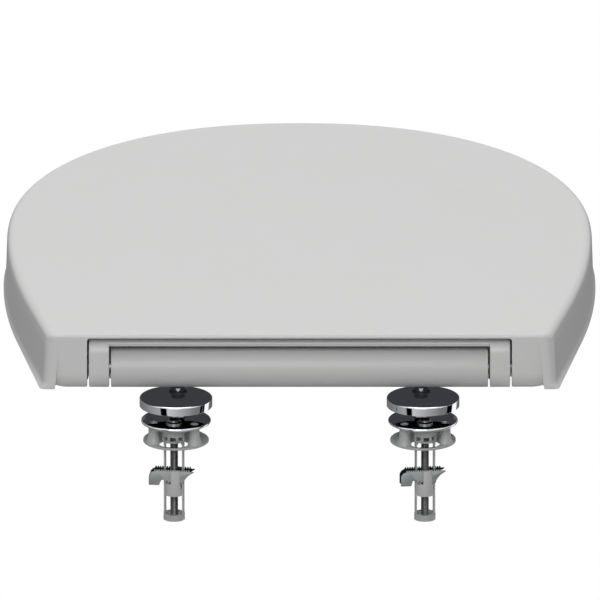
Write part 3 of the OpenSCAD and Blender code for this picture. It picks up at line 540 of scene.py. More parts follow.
def finish_of(name, group, values, shader_values):
    """Material whose colour, roughness and normal come from a group, with plain values on the shader."""
    if name in FINISHES:
        return FINISHES[name]
    if group not in GROUPS:
        GROUPS[group] = {"moulded": moulded_skin_group, "metal": metal_skin_group}[group]()
    material = bpy.data.materials.new(name)
    material.use_nodes = True
    tree = material.node_tree
    shader = tree.nodes["Principled BSDF"]
    skin_node = tree.nodes.new("ShaderNodeGroup")
    skin_node.node_tree = GROUPS[group]
    for label, value in values.items():
        skin_node.inputs[label].default_value = value
    for label, value in shader_values.items():
        shader.inputs[label].default_value = value
    tree.links.new(skin_node.outputs["Colour"], shader.inputs["Base Color"])
    tree.links.new(skin_node.outputs["Roughness"], shader.inputs["Roughness"])
    tree.links.new(skin_node.outputs["Normal"], shader.inputs["Normal"])
    FINISHES[name] = material
    return material


def tinted(base, factor):
    """A colour with each channel multiplied by one number or by three."""
    return (*(np.array(base[:]) * factor), 1)


def plastic(name, base, low, high, relief=0.04, transmission=0.0):
    """Moulded plastic of a base colour, with its roughness between low and high."""
    values = {"Colour": tinted(base, 1), "Drift Colour": tinted(base, (0.985, 0.983, 0.972)), "Gloss Low": low,
              "Gloss High": high, "Relief": relief, "Grain Scale": 1600.0}
    return finish_of(name, "moulded", values, {"IOR": 1.5, "Transmission Weight": transmission})


def metal(name, base, streak, low, high, scale, relief, stretch=(1, 1, 1)):
    """Metal of a base colour whose streaks are a share of it, with its roughness between low and high."""
    values = {"Colour": tinted(base, 1), "Streak Colour": tinted(base, streak), "Gloss Low": low,
              "Gloss High": high, "Streak Scale": scale, "Streak Stretch": stretch, "Relief": relief}
    return finish_of(name, "metal", values, {"Metallic": 1.0})


def finish_for(slot):
    """The finish of each of the record's material slots, and at the end of three more surfaces."""
    tone = bpy.context.scene.seat_finishes
    kind, *values = {
        "lid_plastic": (plastic, "satin_lid", tone.lid, 0.34, 0.42),
        "seat_plastic": (plastic, "satin_seat", tone.seat, 0.34, 0.42),
        "bar_plastic": (plastic, "satin_bar", tone.bar, 0.36, 0.46, 0.06),
        "carrier_plastic": (plastic, "satin_carrier", tone.carrier, 0.4, 0.5, 0.08),
        "clear_grey": (plastic, "half_clear_grey", tone.clear, 0.3, 0.42, 0.05, 0.25),
        "rubber": (plastic, "black_rubber", tone.rubber, 0.55, 0.7, 0.2),
        "bush": (plastic, "black_bush", tone.bush, 0.4, 0.5, 0.1),
        "buffer": (plastic, "grey_buffer", tone.buffer, 0.5, 0.62, 0.15),
        "chrome": (metal, "chrome", tone.chrome, 0.97, 0.015, 0.04, 260.0, 0.005),
        "steel": (metal, "dark_steel", tone.steel, 0.7, 0.16, 0.34, 700.0, 0.1, (1, 1, 0.2)),
        "zinc": (metal, "satin_zinc", tone.zinc, 0.85, 0.3, 0.45, 500.0, 0.12, (0.2, 1, 1)),
        "toggle_metal": (metal, "cast_toggle", tone.toggle, 0.82, 0.38, 0.55, 1500.0, 0.25),
        # Painted dark reflection and shade: near-black metal on the toggles' teeth and ends, and on the faces
        # between the cheeks
        "toggle_edge": (metal, "sheared_edge", (0.02, 0.021, 0.022), 0.8, 0.4, 0.55, 1500.0, 0.25),
        "shaded_chrome": (metal, "shaded_chrome", (0.42, 0.42, 0.44), 0.97, 0.02, 0.05, 260.0, 0.005),
        # Painted shade: near-black metal for the underside and inner wall of the polished caps, which are chrome
        # throughout
        "cap_inside": (metal, "cap_inside", (0.03, 0.03, 0.033), 0.8, 0.35, 0.5, 200.0, 0.05),
    }[slot]
    return kind(*values)


# Lid and seat

def d_half(half_w, front, rear, curve_r, corner_r):
    """One half of the D-shaped outline from the front tip to the middle of the rear, as x, y and the
    outward normal: a quarter of an oval whose x and y, as shares of its half-axes and each raised to
    the front's power, add up to one, then an arc of radius curve_r through the taper's angle, the
    tangent at its end, a corner arc and half of the straight rear edge."""
    power, taper = FRONT_POWER, SIDE_TAPER
    turn = np.linspace(math.pi / 2, 0, 72, endpoint=False)
    x, y = half_w * np.cos(turn) ** (2 / power), front * np.sin(turn) ** (2 / power)
    slope = np.stack([(x / half_w) ** (power - 1) / half_w, (y / front) ** (power - 1) / front])
    slope /= np.linalg.norm(slope, axis=0)
    curved = np.stack([x, y, *slope], axis=1)
    turn = np.linspace(0, taper, 13)
    side = np.stack([half_w - curve_r * (1 - np.cos(turn)), -curve_r * np.sin(turn), np.cos(turn),
                     -np.sin(turn)], axis=1)
    end = side[-1]
    middle_y = corner_r - rear
    middle_x = end[0] + (math.sin(taper) * (middle_y - end[1]) - corner_r) / math.cos(taper)
    outward = np.array([math.cos(taper), -math.sin(taper)])
    start = (middle_x, middle_y) + corner_r * outward
    share = np.linspace(0, 1, 10)[1:-1, None]
    line = np.hstack([end[:2] + share * (start - end[:2]), np.tile(outward, (8, 1))])
    turn = np.linspace(-taper, -math.pi / 2, 17)
    normal = np.stack([np.cos(turn), np.sin(turn)], axis=1)
    corner = np.hstack([(middle_x, middle_y) + corner_r * normal, normal])
    share = np.linspace(1, 0, 17)[1:]
    back = np.stack([middle_x * share, np.full(16, -rear), np.zeros(16), np.full(16, -1.0)], axis=1)
    return np.concatenate([curved, side, line, corner, back])


def d_outline(half_w, front, rear, curve_r, corner_r, wide_y):
    """The whole outline: one half and its mirror image, with y measured from the hinge axis."""
    half = d_half(half_w, front, rear, curve_r, corner_r)
    mirror = half[-2:0:-1] * np.array([-1, 1, -1, 1])
    whole = np.concatenate([half, mirror])
    whole[:, 1] += wide_y
    return whole


def around_hinge(rows):
    return np.asarray(rows) + HINGE


def toward_middle(ring, middle, shares):
    """Rings between a ring and its middle point, at the given shares of the way out from the middle."""
    middle = np.array([*middle, ring[0, 2]])
    return [middle + (ring - middle) * share for share in shares]


def lid_ring(size, side, rear, wall=0):
    """One ring of the lid, its outline drawn afresh for its own insets so that no corner folds:
    side and rear are each an inset and a height, the corners go from one to the other, and over the
    last 60 mm the sides lean in by up to 0.8 times more."""
    more, span = 0.8, 60 * MM
    slant = min(side[0], size.flare + size.draft)
    if wall:
        corner = size.inner_corner - side[0]
    else:
        corner = size.corner + 2.4 * slant - 0.8 * max(side[0], slant)
    inset = wall + side[0]
    reach = size.wide_y + size.rear - wall - rear[0]
    outline = d_outline(size.width / 2 - inset, size.front_reach - inset, reach, SIDE_CURVE - inset, corner,
                        size.wide_y)
    near_rear = np.clip((span - outline[:, 1]) / span, 0, 1)
    outline[:, 0] *= 1 - more * slant * near_rear / (0.44 * size.width)
    share = np.clip((-outline[:, 3] - 0.5) * 2, 0, 1)
    return np.column_stack([outline[:, :2], side[1] + share * (rear[1] - side[1])])


def lid_rings(size):
    """Rings of the lid from the middle of its top over the rounded edge, down the leaning wall and
    its flare, round the lower lip, up the inside and back to the middle of the underside."""
    lip, wall, inner_r = 0.6 * MM, size.wall, 2.5 * MM
    low, under = -size.low, size.top - wall

    def leaning(end, wall=0):
        """Rings from the lip up to a height of a wall that flares out below and leans in above,
        and is nearly upright at the rear."""
        flare_top, high = low + size.flare_height, size.top - 0.5 * size.edge
        rings = []
        for z in (*np.linspace(low + lip, flare_top, 6), *np.linspace(flare_top, end, 6)[1:]):
            below = np.clip((z - low - lip) / (flare_top - low - lip), 0, 1)
            above = np.clip((z - flare_top) / (high - flare_top), 0, 1)
            inset = size.flare * math.sin(below * math.pi / 2) + size.draft * above
            rings.append(lid_ring(size, (inset, z), (size.rear_draft * above, z), wall))
        return rings

    def rolled(side_r, rear_r, top, turn, wall=0):
        """A ring of a rounded edge whose radius is not the same at the sides as at the rear."""
        away, down = 1 - math.cos(turn), 1 - math.sin(turn)
        return lid_ring(size, (size.flare + size.draft + side_r * away, top - side_r * down),
                        (size.rear_draft + rear_r * away, top - rear_r * down), wall)

    def lip_ring(turn, side, wall=0):
        """A ring of the rounded lower lip, its outer quarter or its inner one."""
        at = (lip * (1 - math.cos(turn)) * side, low + lip * (1 - math.sin(turn)))
        return lid_ring(size, at, at, wall)

    top = [rolled(size.edge, size.rear_edge, size.top, t) for t in np.linspace(math.pi / 2, 0, 11)]
    outer_wall = leaning(size.top - size.edge - 0.4 * MM)[::-1]
    lips = [lip_ring(t, 1) for t in np.linspace(0, math.pi / 2, 5)[1:]]
    lips += [lip_ring(t, -1, wall) for t in np.linspace(math.pi / 2, 0, 5)]
    inner_wall = leaning(under - inner_r, wall)[1:]
    inner_edge = [rolled(inner_r, inner_r, under, t, wall) for t in np.linspace(0, math.pi / 2, 6)[1:]]
    middle = (0, size.wide_y - 20 * MM)
    out = (0, 0.25, 0.5, 0.75, 0.9, 0.97, 0.99)
    return (toward_middle(top[0], middle, out) + top + outer_wall + lips + inner_wall + inner_edge
            + toward_middle(inner_edge[-1], middle, out[::-1]))


def hole_points(angle, size):
    """Points of the opening in the directions given by an angle about its middle: an oval curve
    with its own length to the front and to the rear."""
    front = 0.53 * size.hole_length
    half = np.where(np.sin(angle) > 0, front, size.hole_length - front)
    x, y = np.abs(np.cos(angle)) * 2 / size.hole_width, np.abs(np.sin(angle)) / half
    r = (x ** HOLE_POWER + y ** HOLE_POWER) ** (-1 / HOLE_POWER)
    return np.column_stack([r * np.cos(angle), hole_middle(size) + r * np.sin(angle)])


def hole_middle(size):
    return size.hole_rear + 0.47 * size.hole_length


def seat_rings(lid, size):
    """Cross-sections of the seat: each runs on the line from a point of the outline to the opening,
    over a crowned top between two rounded edges, with a channel underneath."""
    outer = d_outline(lid.width / 2 - size.inset, lid.front_reach - size.inset, lid.wide_y - size.rear,
                      SIDE_CURVE - size.inset, size.corner, lid.wide_y)[:, :2]
    inner = hole_points(np.arctan2(outer[:, 1] - hole_middle(size), outer[:, 0]), size)
    along = inner - outer
    along /= np.linalg.norm(along, axis=1, keepdims=True)
    dish, lip, lean, outer_r, inner_r, rim = np.array([1.6, 1, 0.3, 5, 9, 7]) * MM
    low, low_in = -size.low, size.top - dish
    turn, lip_turn = np.linspace(0, math.pi / 2, 9), np.linspace(math.pi / 2, 0, 4)
    lip_arc = np.column_stack([lip * (1 - np.cos(lip_turn)), low + lip * (1 - np.sin(lip_turn))])

    def edge_arc(radius, top):
        return np.column_stack([lean + radius * (1 - np.cos(turn)), top - radius * (1 - np.sin(turn))])

    groove = np.array([(-0.5, 0), (0.2, 0.6), (0.8, 9), (2, 10)]) * MM + (rim, low)
    from_outer = np.concatenate([lip_arc, edge_arc(outer_r, size.top)])
    crown = [[inner_r + 12 * MM, low_in + 0.4 * MM]]
    from_inner = np.concatenate([crown, edge_arc(inner_r, low_in)[::-1], lip_arc[::-1], groove])

    def section(profile, start, step):
        plan = start[:, None] + step[:, None] * profile[None, :, :1]
        return np.concatenate([plan, np.broadcast_to(profile[None, :, 1:], (*plan.shape[:2], 1))], axis=2)

    return np.concatenate([section(from_outer, outer, along), section(from_inner, inner, -along),
                           section(groove[::-1], outer, along)], axis=1)


def hinge_bores(near, bush_end, key_end, bush_side):
    """Bores through the lugs or the ears, for the bush on one side and for the keyed shaft on the other."""
    tools = []
    for side, far, radius in ((bush_side, bush_end, BUSH_BORE), (-bush_side, key_end, KEY_BORE)):
        tools.append(shaft_tool("bore_tool", *sorted((side * near, side * far)), radius))
    return tools


def shaft_tool(name, start, end, radius):
    """A round bar along the hinge axis, used to cut bores."""
    return slab(name, arc(radius, 0, 360 - 7.5, 48) + HINGE[1:], start, end, 0.01 * MM, 1)


def rear_wall_at(size, height):
    """How far back the leaning rear wall of the lid reaches at a height."""
    return -size.rear + size.rear_draft * (height + size.low) / (size.top + size.low - 2 * MM)


class SEAT_OT_lid(bpy.types.Operator):
    """Builds the lid: a D-shaped shell with a wrap-over rim, the opening for the bar and two lugs"""
    bl_idname = "toilet_seat.lid"
    bl_label = "Lid"
    # Height over the hinge axis where a lug comes out of the rear wall
    blend_z = 19 * MM

    def lug_room(self, side, size, inner, outer):
        """Wedge cut from the rear wall for a lug: its outer side leans outward toward the bottom and
        its depth grows from nothing where the lug meets the wall to the wall's thickness at the axis."""
        heights = np.array([self.blend_z, 0, -0.2 * MM, -size.low - MM])
        depth = np.array([0, size.wall - MM, size.wall, size.wall])
        lean = outer - 2 * MM + (self.blend_z - heights) * 0.1
        rows = []
        for z, deep, reach in zip(heights, depth, lean):
            behind, back = -size.rear - MM, rear_wall_at(size, z) + deep
            ring = [(inner - MM, behind), (reach, behind), (reach, back), (inner - MM, back)]
            rows.append([(side * x, y, z) for x, y in ring])
        return skin("lug_room_tool", around_hinge(rows))

    def lug_tools(self, size, hinge):
        """The two lugs: an upright plate behind the wall and a round end about the hinge axis, rounded
        at the outer end by an amount that grows toward the bottom."""
        wall_top = size.top - size.wall + 0.01 * MM
        upper = np.linspace(self.blend_z, 0, 9)[:, None]
        profile = np.concatenate([
            [[size.rear - 1.12 * MM, wall_top], [-size.rear + size.rear_draft + 0.1 * MM, wall_top]],
            np.hstack([rear_wall_at(size, upper), upper])[:-1],
            arc(size.rear - 0.1 * MM, 180, 360, 41),
        ])
        weight = np.clip((self.blend_z - profile[:, 1]) / self.blend_z, 0, 1) ** 0.7
        weight[profile[:, 0] > 0] = 0
        inner_edge, outer_edge = (0.7 * MM, 0.7 * MM), (9 * MM, 2.4 * MM)
        return [slab("lug_tool", profile + HINGE[1:], side * hinge.lug_in, side * (hinge.lug_out + 1.4 * MM),
                     inner_edge, 8, outer_edge, weight) for side in (LEFT, RIGHT)]

    def execute(self, context):
        size, hinge = context.scene.seat_lid, context.scene.seat_hinge
        lid = skin("lid_shell", around_hinge(lid_rings(size)))
        notch_corner, notch_depth, bush_depth, key_depth = np.array([2, 6.4, 13, 14]) * MM
        low, top, lug = HINGE[2] - size.low - MM, HINGE[2] + size.top - size.notch_lip, hinge.lug_in
        notch = rounded([(lug, low, 0), (lug, top, notch_corner), (-lug, top, notch_corner), (-lug, low, 0)], 6)
        wall_y = HINGE[1] - size.rear
        rows = [np.column_stack([notch[:, 0], np.full(len(notch), y), notch[:, 1]])
                for y in (wall_y - 3 * MM, wall_y + notch_depth)]
        rooms = [self.lug_room(side, size, lug, hinge.lug_out) for side in (LEFT, RIGHT)]
        shape_with(lid, [skin("notch_tool", rows), *rooms], "DIFFERENCE")
        shape_with(lid, self.lug_tools(size, hinge), "UNION")
        shape_with(lid, hinge_bores(lug - MM, lug + bush_depth, lug + key_depth, LEFT), "DIFFERENCE")
        settle(lid, "lid", "lid_plastic", "lid")
        return {"FINISHED"}


class SEAT_OT_ring(bpy.types.Operator):
    """Builds the seat ring with its crowned top, the strip over the bar and the two ears"""
    bl_idname = "toilet_seat.ring"
    bl_label = "Seat ring"

    @staticmethod
    def strip_profile(size):
        """Section of the strip over the bar, from the front up and over to its rounded rear end."""
        stop, inner_stop, tip_r = 113.5, 115, 0.5 * MM
        end = math.radians(stop + 0.1)
        tip = (size.strip_out - tip_r) * np.array([math.cos(end), math.sin(end)])
        return np.concatenate([arc(size.strip_out, 0, stop, 61), arc(tip_r, inner_stop, inner_stop + 90, 5, tip),
                               arc(size.strip_in, inner_stop, 0, 61)])

    @staticmethod
    def ear_profile(size, bar_r):
        """Section of an ear: the strip's curve, which a fillet joins to an upright rear face level with
        the bar, and the bar's curve below."""
        fillet_r, short_by = 6.8 * MM, math.radians(14)
        end = math.atan2(math.sqrt(size.strip_out ** 2 - bar_r ** 2), -bar_r) - short_by
        x, z = size.strip_out * math.cos(end), size.strip_out * math.sin(end)
        away = (bar_r + x) / math.sin(end)
        corner = z + away * math.cos(end)
        fillet = rounded([(x, z, 0), (-bar_r, corner, fillet_r), (-bar_r, corner - away - MM, 0)], 10)
        return np.concatenate([
            arc(size.strip_out, 0, math.degrees(end), 50), fillet[1:], [[-bar_r, 5 * MM]],
            arc(bar_r, 180, 270, 24), [[4 * MM, -bar_r + 0.3 * MM], [size.strip_out, -size.low + 0.2 * MM]],
        ])

    def execute(self, context):
        size, lid, hinge = context.scene.seat_ring, context.scene.seat_lid, context.scene.seat_hinge
        ring = skin("seat_ring_shell", around_hinge(seat_rings(lid, size)), loop=True)
        half = size.ear_in + MM
        parts = [slab("strip_tool", self.strip_profile(size) + HINGE[1:], -half, half, 0.01 * MM, 1)]
        ear = self.ear_profile(size, hinge.bar_radius) + HINGE[1:]
        for side in (LEFT, RIGHT):
            near, far = sorted((side * size.ear_in, side * size.ear_out))
            parts.append(slab("ear_tool", ear, near, far, 0.8 * MM))
        shape_with(ring, parts, "UNION")
        through = size.ear_out + MM
        shape_with(ring, hinge_bores(size.ear_in - MM, through, through, RIGHT), "DIFFERENCE")
        settle(ring, "seat", "seat_plastic", "seat_ring")
        return {"FINISHED"}


class SEAT_OT_hinge_bar(bpy.types.Operator):
    """Builds the round hinge bar with rounded ends and the holes for the posts and dampers"""
    bl_idname = "toilet_seat.hinge_bar"
    bl_label = "Hinge bar"

    def execute(self, context):
        hinge = context.scene.seat_hinge
        half = hinge.bar_length / 2
        damper_depth, damper_bore, socket_depth, socket_bore = np.array([28.3, 9.05, 14, 5.81]) * MM
        bar = slab("round_bar", arc(hinge.bar_radius, 0, 360 - 2.5, 144) + HINGE[1:], -half, half, 0.6 * MM)
        post_x = BOLT_X - POST_REACH * math.sin(BASE_TURN)
        cuts = []
        for side in (LEFT, RIGHT):
            near, far = sorted((side * (half - damper_depth), side * (half + MM)))
            cuts.append(shaft_tool("damper_tool", near, far, damper_bore))
            place = (side * post_x, HINGE[1])
            cuts.append(drill("socket_tool", place, socket_bore, HINGE[2] - socket_depth, HINGE[2] + MM))
        shape_with(bar, cuts, "DIFFERENCE")
        settle(bar, "hinge_bar", "bar_plastic", "hinge_bar")
        return {"FINISHED"}


class SEAT_OT_hinge_parts(bpy.types.Operator):
    """Builds the shafts, dampers, bushes and post sockets from the CAD nodes with softened edges"""
    bl_idname = "toilet_seat.hinge_parts"
    bl_label = "Shafts, dampers and bushes"

    def execute(self, context):
        parts = (
            ("lid_shaft", "lid", "zinc"), ("seat_shaft", "seat", "zinc"), ("lid_damper", "hinge_bar", "zinc"),
            ("seat_damper", "hinge_bar", "zinc"), ("lid_bush", "lid", "bush"), ("seat_bush", "seat", "bush"),
            ("post_socket_left", "hinge_bar", "clear_grey"), ("post_socket_right", "hinge_bar", "clear_grey"),
        )
        for node, body, slot in parts:
            piece = copy_of(node, node + "_turned", 0.15 * MM)
            settle(piece, body, slot, node)
        return {"FINISHED"}


class SEAT_OT_pads(bpy.types.Operator):
    """Builds the lid's pads and the seat's buffers as turned rubber pieces with rounded rims"""
    bl_idname = "toilet_seat.pads"
    bl_label = "Pads and buffers"

    def execute(self, context):
        under_lid = context.scene.seat_lid.top - context.scene.seat_lid.wall
        for side, _ in SIDES:
            for node, body, slot, low_r, top_r, edge in (
                (f"lid_pad_{side}", "lid", "rubber", 5.25, 6, 1.2),
                (f"seat_buffer_front_{side}", "seat", "buffer", 11, 11, 2),
                (f"seat_buffer_rear_{side}", "seat", "buffer", 11, 11, 2),
            ):
                low, high = (np.array(corner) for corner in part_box(node))
                centre = (low + high)[:2] / 2
                lid_pad = body == "lid"
                plug_r = (3 if lid_pad else 4) * MM
                face = HINGE[2] + (under_lid if lid_pad else -context.scene.seat_ring.low)
                profile = rounded([
                    (0, low[2], 0), (low_r * MM, low[2], edge * MM), (top_r * MM, face, 0.3 * MM),
                    (plug_r, face, 0), (plug_r, high[2], 0.3 * MM), (0, high[2], 0),
                ], 5)
                piece = turned(node + "_turned", profile, centre, 64)
                settle(piece, body, slot, node)
        return {"FINISHED"}


# Fixings

def thread_rows(radius, depth, pitch, low, high, around, steps=8):
    """Rows of a threaded shaft: the radius at height z and angle a is a wave of the phase
    z / pitch - a / (2 pi), which gives a flank of 60 degrees with a narrow flat crest and root,
    and it shrinks to a point-side chamfer over the last millimetre."""
    height = np.arange(low, high, pitch / steps)
    angle = np.linspace(0, 2 * math.pi, around, endpoint=False)
    phase = (height[:, None] / pitch - angle[None] / (2 * math.pi)) % 1
    wave = np.clip(np.abs(phase - 0.5) * 2 * 1.3 - 0.15, 0, 1)
    r = radius - depth * (1 - wave)
    r = np.minimum(r, radius - 0.7 * MM + np.maximum(height - low, 0)[:, None])
    return np.stack([r * np.cos(angle), r * np.sin(angle), np.broadcast_to(height[:, None], r.shape)], axis=-1)


class SEAT_OT_posts(bpy.types.Operator):
    """Builds the two posts that carry the hinge bar, with foot, groove and rounded tip"""
    bl_idname = "toilet_seat.posts"
    bl_label = "Posts"

    def execute(self, context):
        r = context.scene.seat_hinge.post_radius / MM
        for side, k in SIDES:
            low, high = (np.array(corner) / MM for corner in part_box(f"post_{side}"))
            base, top = low[2], high[2]
            foot, groove = base + 2.2, top - 4.5
            profile = rounded([
                (0, base, 0), (3, base, 0.2), (3, foot, 0), (6, foot, 0.2), (6, foot + 1.5, 0.5),
                (r, foot + 1.5, 0.3), (r, groove - 1.6, 0.3), (r - 0.7, groove - 0.9, 0.3),
                (r - 0.7, groove + 0.9, 0.3), (r, groove + 1.6, 0.3), (r, top - 0.8, 0.3), (r - 0.8, top, 0.4),
                (0, top, 0),
            ], 4) * MM
            post = turned(f"post_turned_{side}", profile, place_at_fixing(k, 0, POST_REACH), 64)
            settle(post, "fixings", "chrome", f"post_{side}", finish_for("shaded_chrome"))
        return {"FINISHED"}


class SEAT_OT_caps(bpy.types.Operator):
    """Builds the polished caps, each a thin sheet with a turned-down rim, and their seals"""
    bl_idname = "toilet_seat.caps"
    bl_label = "Caps and seals"

    def execute(self, context):
        size = context.scene.seat_fixing
        for side, k in SIDES:
            low, top = (np.array(corner)[2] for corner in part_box(f"cap_{side}"))
            at, hole = place_at_fixing(k, 0, PLATE_SHIFT), place_at_fixing(k, 0, POST_REACH)
            r, t = size.cap_radius, size.cap_sheet
            rim = rounded([(r - t, low, 0.3 * MM), (r, low, 0.3 * MM), (r, top, MM), (r - 3 * MM, top, 0)], 6)
            inside = [(r - 3 * MM, top - t), (r - t - 0.4 * MM, top - t), (r - t, top - t - 0.4 * MM)]
            bore = 4.95 * MM
            stations = [(bore, top - t, *hole), (bore, top, *hole)]
            stations += [(a, b, *at) for a, b in rim[::-1]]
            stations += [(a, b, *at) for a, b in inside[::-1]]
            cap = ringed(f"cap_pressed_{side}", stations)
            settle(cap, f"cap_{side}", "chrome", f"cap_{side}")
            centre = np.array(at)

            def inside_cap(middle, normal):
                off = middle[:, :2] - centre
                underside = (normal[:, 2] < -0.7) & (middle[:, 2] > low + MM)
                inner_wall = (np.sum(off * normal[:, :2], axis=1) < 0) & (np.hypot(*off.T) > r - 2 * MM)
                return underside | inner_wall

            # The cap's underside and inner wall get the near-black metal as painted shade
            mark_faces(cap, finish_for("cap_inside"), inside_cap)
            under, lip = top - t, 0.45 * MM
            inner, neck, brim = 4.36 * MM, 4.9 * MM, 5.6 * MM
            profile = rounded([
                (inner, under - lip, 0.1 * MM), (brim, under - lip, 0.15 * MM), (brim, under, 0),
                (neck, under, 0), (neck, top, 0), (brim, top, 0), (5.5 * MM, top + lip, 0.2 * MM),
                (inner, top + lip, 0.1 * MM),
            ], 3)
            seal = ringed(f"cap_seal_moulded_{side}", [(a, b, *hole) for a, b in profile], 64)
            settle(seal, f"cap_{side}", "rubber", f"cap_seal_{side}")
        return {"FINISHED"}


class SEAT_OT_base_plates(bpy.types.Operator):
    """Builds the polished base plates with rounded rims and their four holes"""
    bl_idname = "toilet_seat.base_plates"
    bl_label = "Base plates"

    def execute(self, context):
        size = context.scene.seat_fixing
        for side, k in SIDES:
            low, top = (np.array(corner)[2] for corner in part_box(f"base_plate_{side}"))
            r, half = size.plate_radius, size.plate_height / 2
            profile = rounded([(0, low, 0), (r, low, half * 0.98), (r, top, half * 0.98), (0, top, 0)], 8)
            plate = turned(f"base_plate_turned_{side}", profile, place_at_fixing(k, 0, PLATE_SHIFT), 128)
            bolt_hole, post_hole, peg_hole = np.array([2.57, 3.05, 2.65]) * MM
            places = ((0, 0, bolt_hole), (0, POST_REACH, post_hole), (-PEG_REACH, 0, peg_hole),
                      (PEG_REACH, 0, peg_hole))
            holes = [drill("hole_tool", place_at_fixing(k, x, y), radius, low - MM, top + MM, 48)
                     for x, y, radius in places]
            shape_with(plate, holes, "DIFFERENCE")
            settle(plate, "fixings", "chrome", f"base_plate_{side}")
        return {"FINISHED"}


class SEAT_OT_foot_washers(bpy.types.Operator):
    """Builds the half-clear foot washers, each a thin ring with two flared posts and pegs"""
    bl_idname = "toilet_seat.foot_washers"
    bl_label = "Foot washers"

    def execute(self, context):
        r = context.scene.seat_fixing.foot_radius
        for side, k in SIDES:
            at, hole = place_at_fixing(k, 0, PLATE_SHIFT), place_at_fixing(k, 0, 0)
            bore, thick = 9.3 * MM, 1.5 * MM
            near_rim, near_bore = r - 2 * MM, bore + MM
            outer = rounded([(near_rim, 0, 0), (r, 0, 0.25 * MM), (r, thick, 0.5 * MM), (near_rim, thick, 0)], 4)
            inner = rounded([(near_bore, thick, 0), (bore, thick, 0.3 * MM), (bore, 0, 0.2 * MM),
                             (near_bore, 0, 0)], 3)
            stations = [(a, b, *at) for a, b in outer] + [(a, b, *hole) for a, b in inner]
            washer = ringed(f"foot_washer_moulded_{side}", stations)
            profile = rounded([
                (0, 0.8, 0), (5.2, 0.8, 0), (5.1, 1.6, 0.4), (3.9, 4.4, 6), (3.2, 7.6, 6), (3.2, 12.2, 0.15),
                (2.5, 12.2, 0.1), (2.5, 13.9, 0.3), (0, 13.9, 0),
            ], 5) * MM
            posts = []
            for x in (-PEG_REACH, PEG_REACH):
                posts.append(turned("washer_post_tool", profile, place_at_fixing(k, x, 0), 64))
                shape_with(posts[-1], [drill("sleeve_room_tool", hole, bore, -MM, 12 * MM, 96)], "DIFFERENCE")
            shape_with(washer, posts, "UNION")
            settle(washer, "fixings", "clear_grey", f"foot_washer_{side}")
        return {"FINISHED"}


class SEAT_OT_sleeves(bpy.types.Operator):
    """Builds the half-clear sleeves with their windowed collars, two rails and cup"""
    bl_idname = "toilet_seat.sleeves"
    bl_label = "Sleeves"

    def execute(self, context):
        for side, _ in SIDES:
            sleeve = copy_of(f"sleeve_{side}", f"sleeve_moulded_{side}", 0.12 * MM)
            settle(sleeve, "fixings", "clear_grey", f"sleeve_{side}")
        return {"FINISHED"}


class SEAT_OT_bolts(bpy.types.Operator):
    """Builds the bolts with a cross-recessed head and a cut thread"""
    bl_idname = "toilet_seat.bolts"
    bl_label = "Bolts"

    def execute(self, context):
        size = context.scene.seat_fixing
        for side, k in SIDES:
            low, top = (np.array(corner)[2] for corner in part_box(f"bolt_{side}"))
            head_height, reach, half_width, recess = np.array([3, 1.9, 0.55, 1.8]) * MM
            seat = top - head_height
            rows = thread_rows(size.bolt_radius, size.thread_depth, size.thread_pitch, low, seat - 2 * MM,
                               size.turns_across)
            shaft = skin(f"bolt_threaded_{side}", rows)
            profile = rounded([
                (0, -4, 0), (2.45, -4, 0.2), (2.45, 0, 0), (5, 0, 0.2), (5, 0.9, 0.3), (3.8, 1.5, 0.4),
                (3.2, 2.7, 0.4), (2.6, 3, 0.3), (0, 3, 0),
            ], 4) * MM
            profile[:, 1] += seat
            head = turned("head_tool", profile, (0, 0), 48)
            shape_with(shaft, [head], "UNION")
            slots = [box_tool("slot_tool", (-a, -b, top - recess), (a, b, top + MM))
                     for a, b in ((reach, half_width), (half_width, reach))]
            shape_with(shaft, slots, "DIFFERENCE")
            turn_to_fixing(shaft, k)
            settle(shaft, f"bolt_{side}", "steel", f"bolt_{side}")
        return {"FINISHED"}


def cheek_profile():
    """Side view of a toggle's cheek as (along, up) pairs about the bolt's axis and the carrier's
    shoulder: a hammer end, a toothed bed, a hooked wing and the round end at the pivot."""
    bed, pitch, tall = 8.2 * MM, 1.42 * MM, 1.1 * MM
    # Corners of one tooth as a share of the pitch and of the height
    tooth = np.array([(0.95, 0), (0.72, 1), (0.3, 1), (0.05, 0)])
    start = -12.4 * MM + np.arange(16)[::-1, None] * pitch
    teeth = np.stack([start + tooth[:, 0] * pitch, start * 0 + bed + tooth[:, 1] * tall], axis=-1)
    below = rounded([
        (-15.4, 3, 0), (-15.4, -1.1, 0.5), (-8.9, -1.1, 0.4), (-8.0, 2.1, 0.5), (-5.9, 2.6, 0), (-5.6, 1.4, 0),
        (-5.2, 0.3, 0), (-3.9, -0.3, 0), (-2.6, 0.3, 0), (-2.3, 1.1, 0.4), (6.4, 0.5, 0.8), (6.9, 2.7, 1.5),
        (9.2, 5.6, 5), (12.1, 7.5, 0), (12.5, 7.6, 0), (12.3, 8.3, 0), (11.4, 8.1, 0), (11.3, 8.2, 0),
    ], 4) * MM
    corner = arc(4 * MM, 93, 180, 8, (-11.4 * MM, bed - 4 * MM))
    return np.concatenate([below, teeth.reshape(-1, 2), corner])


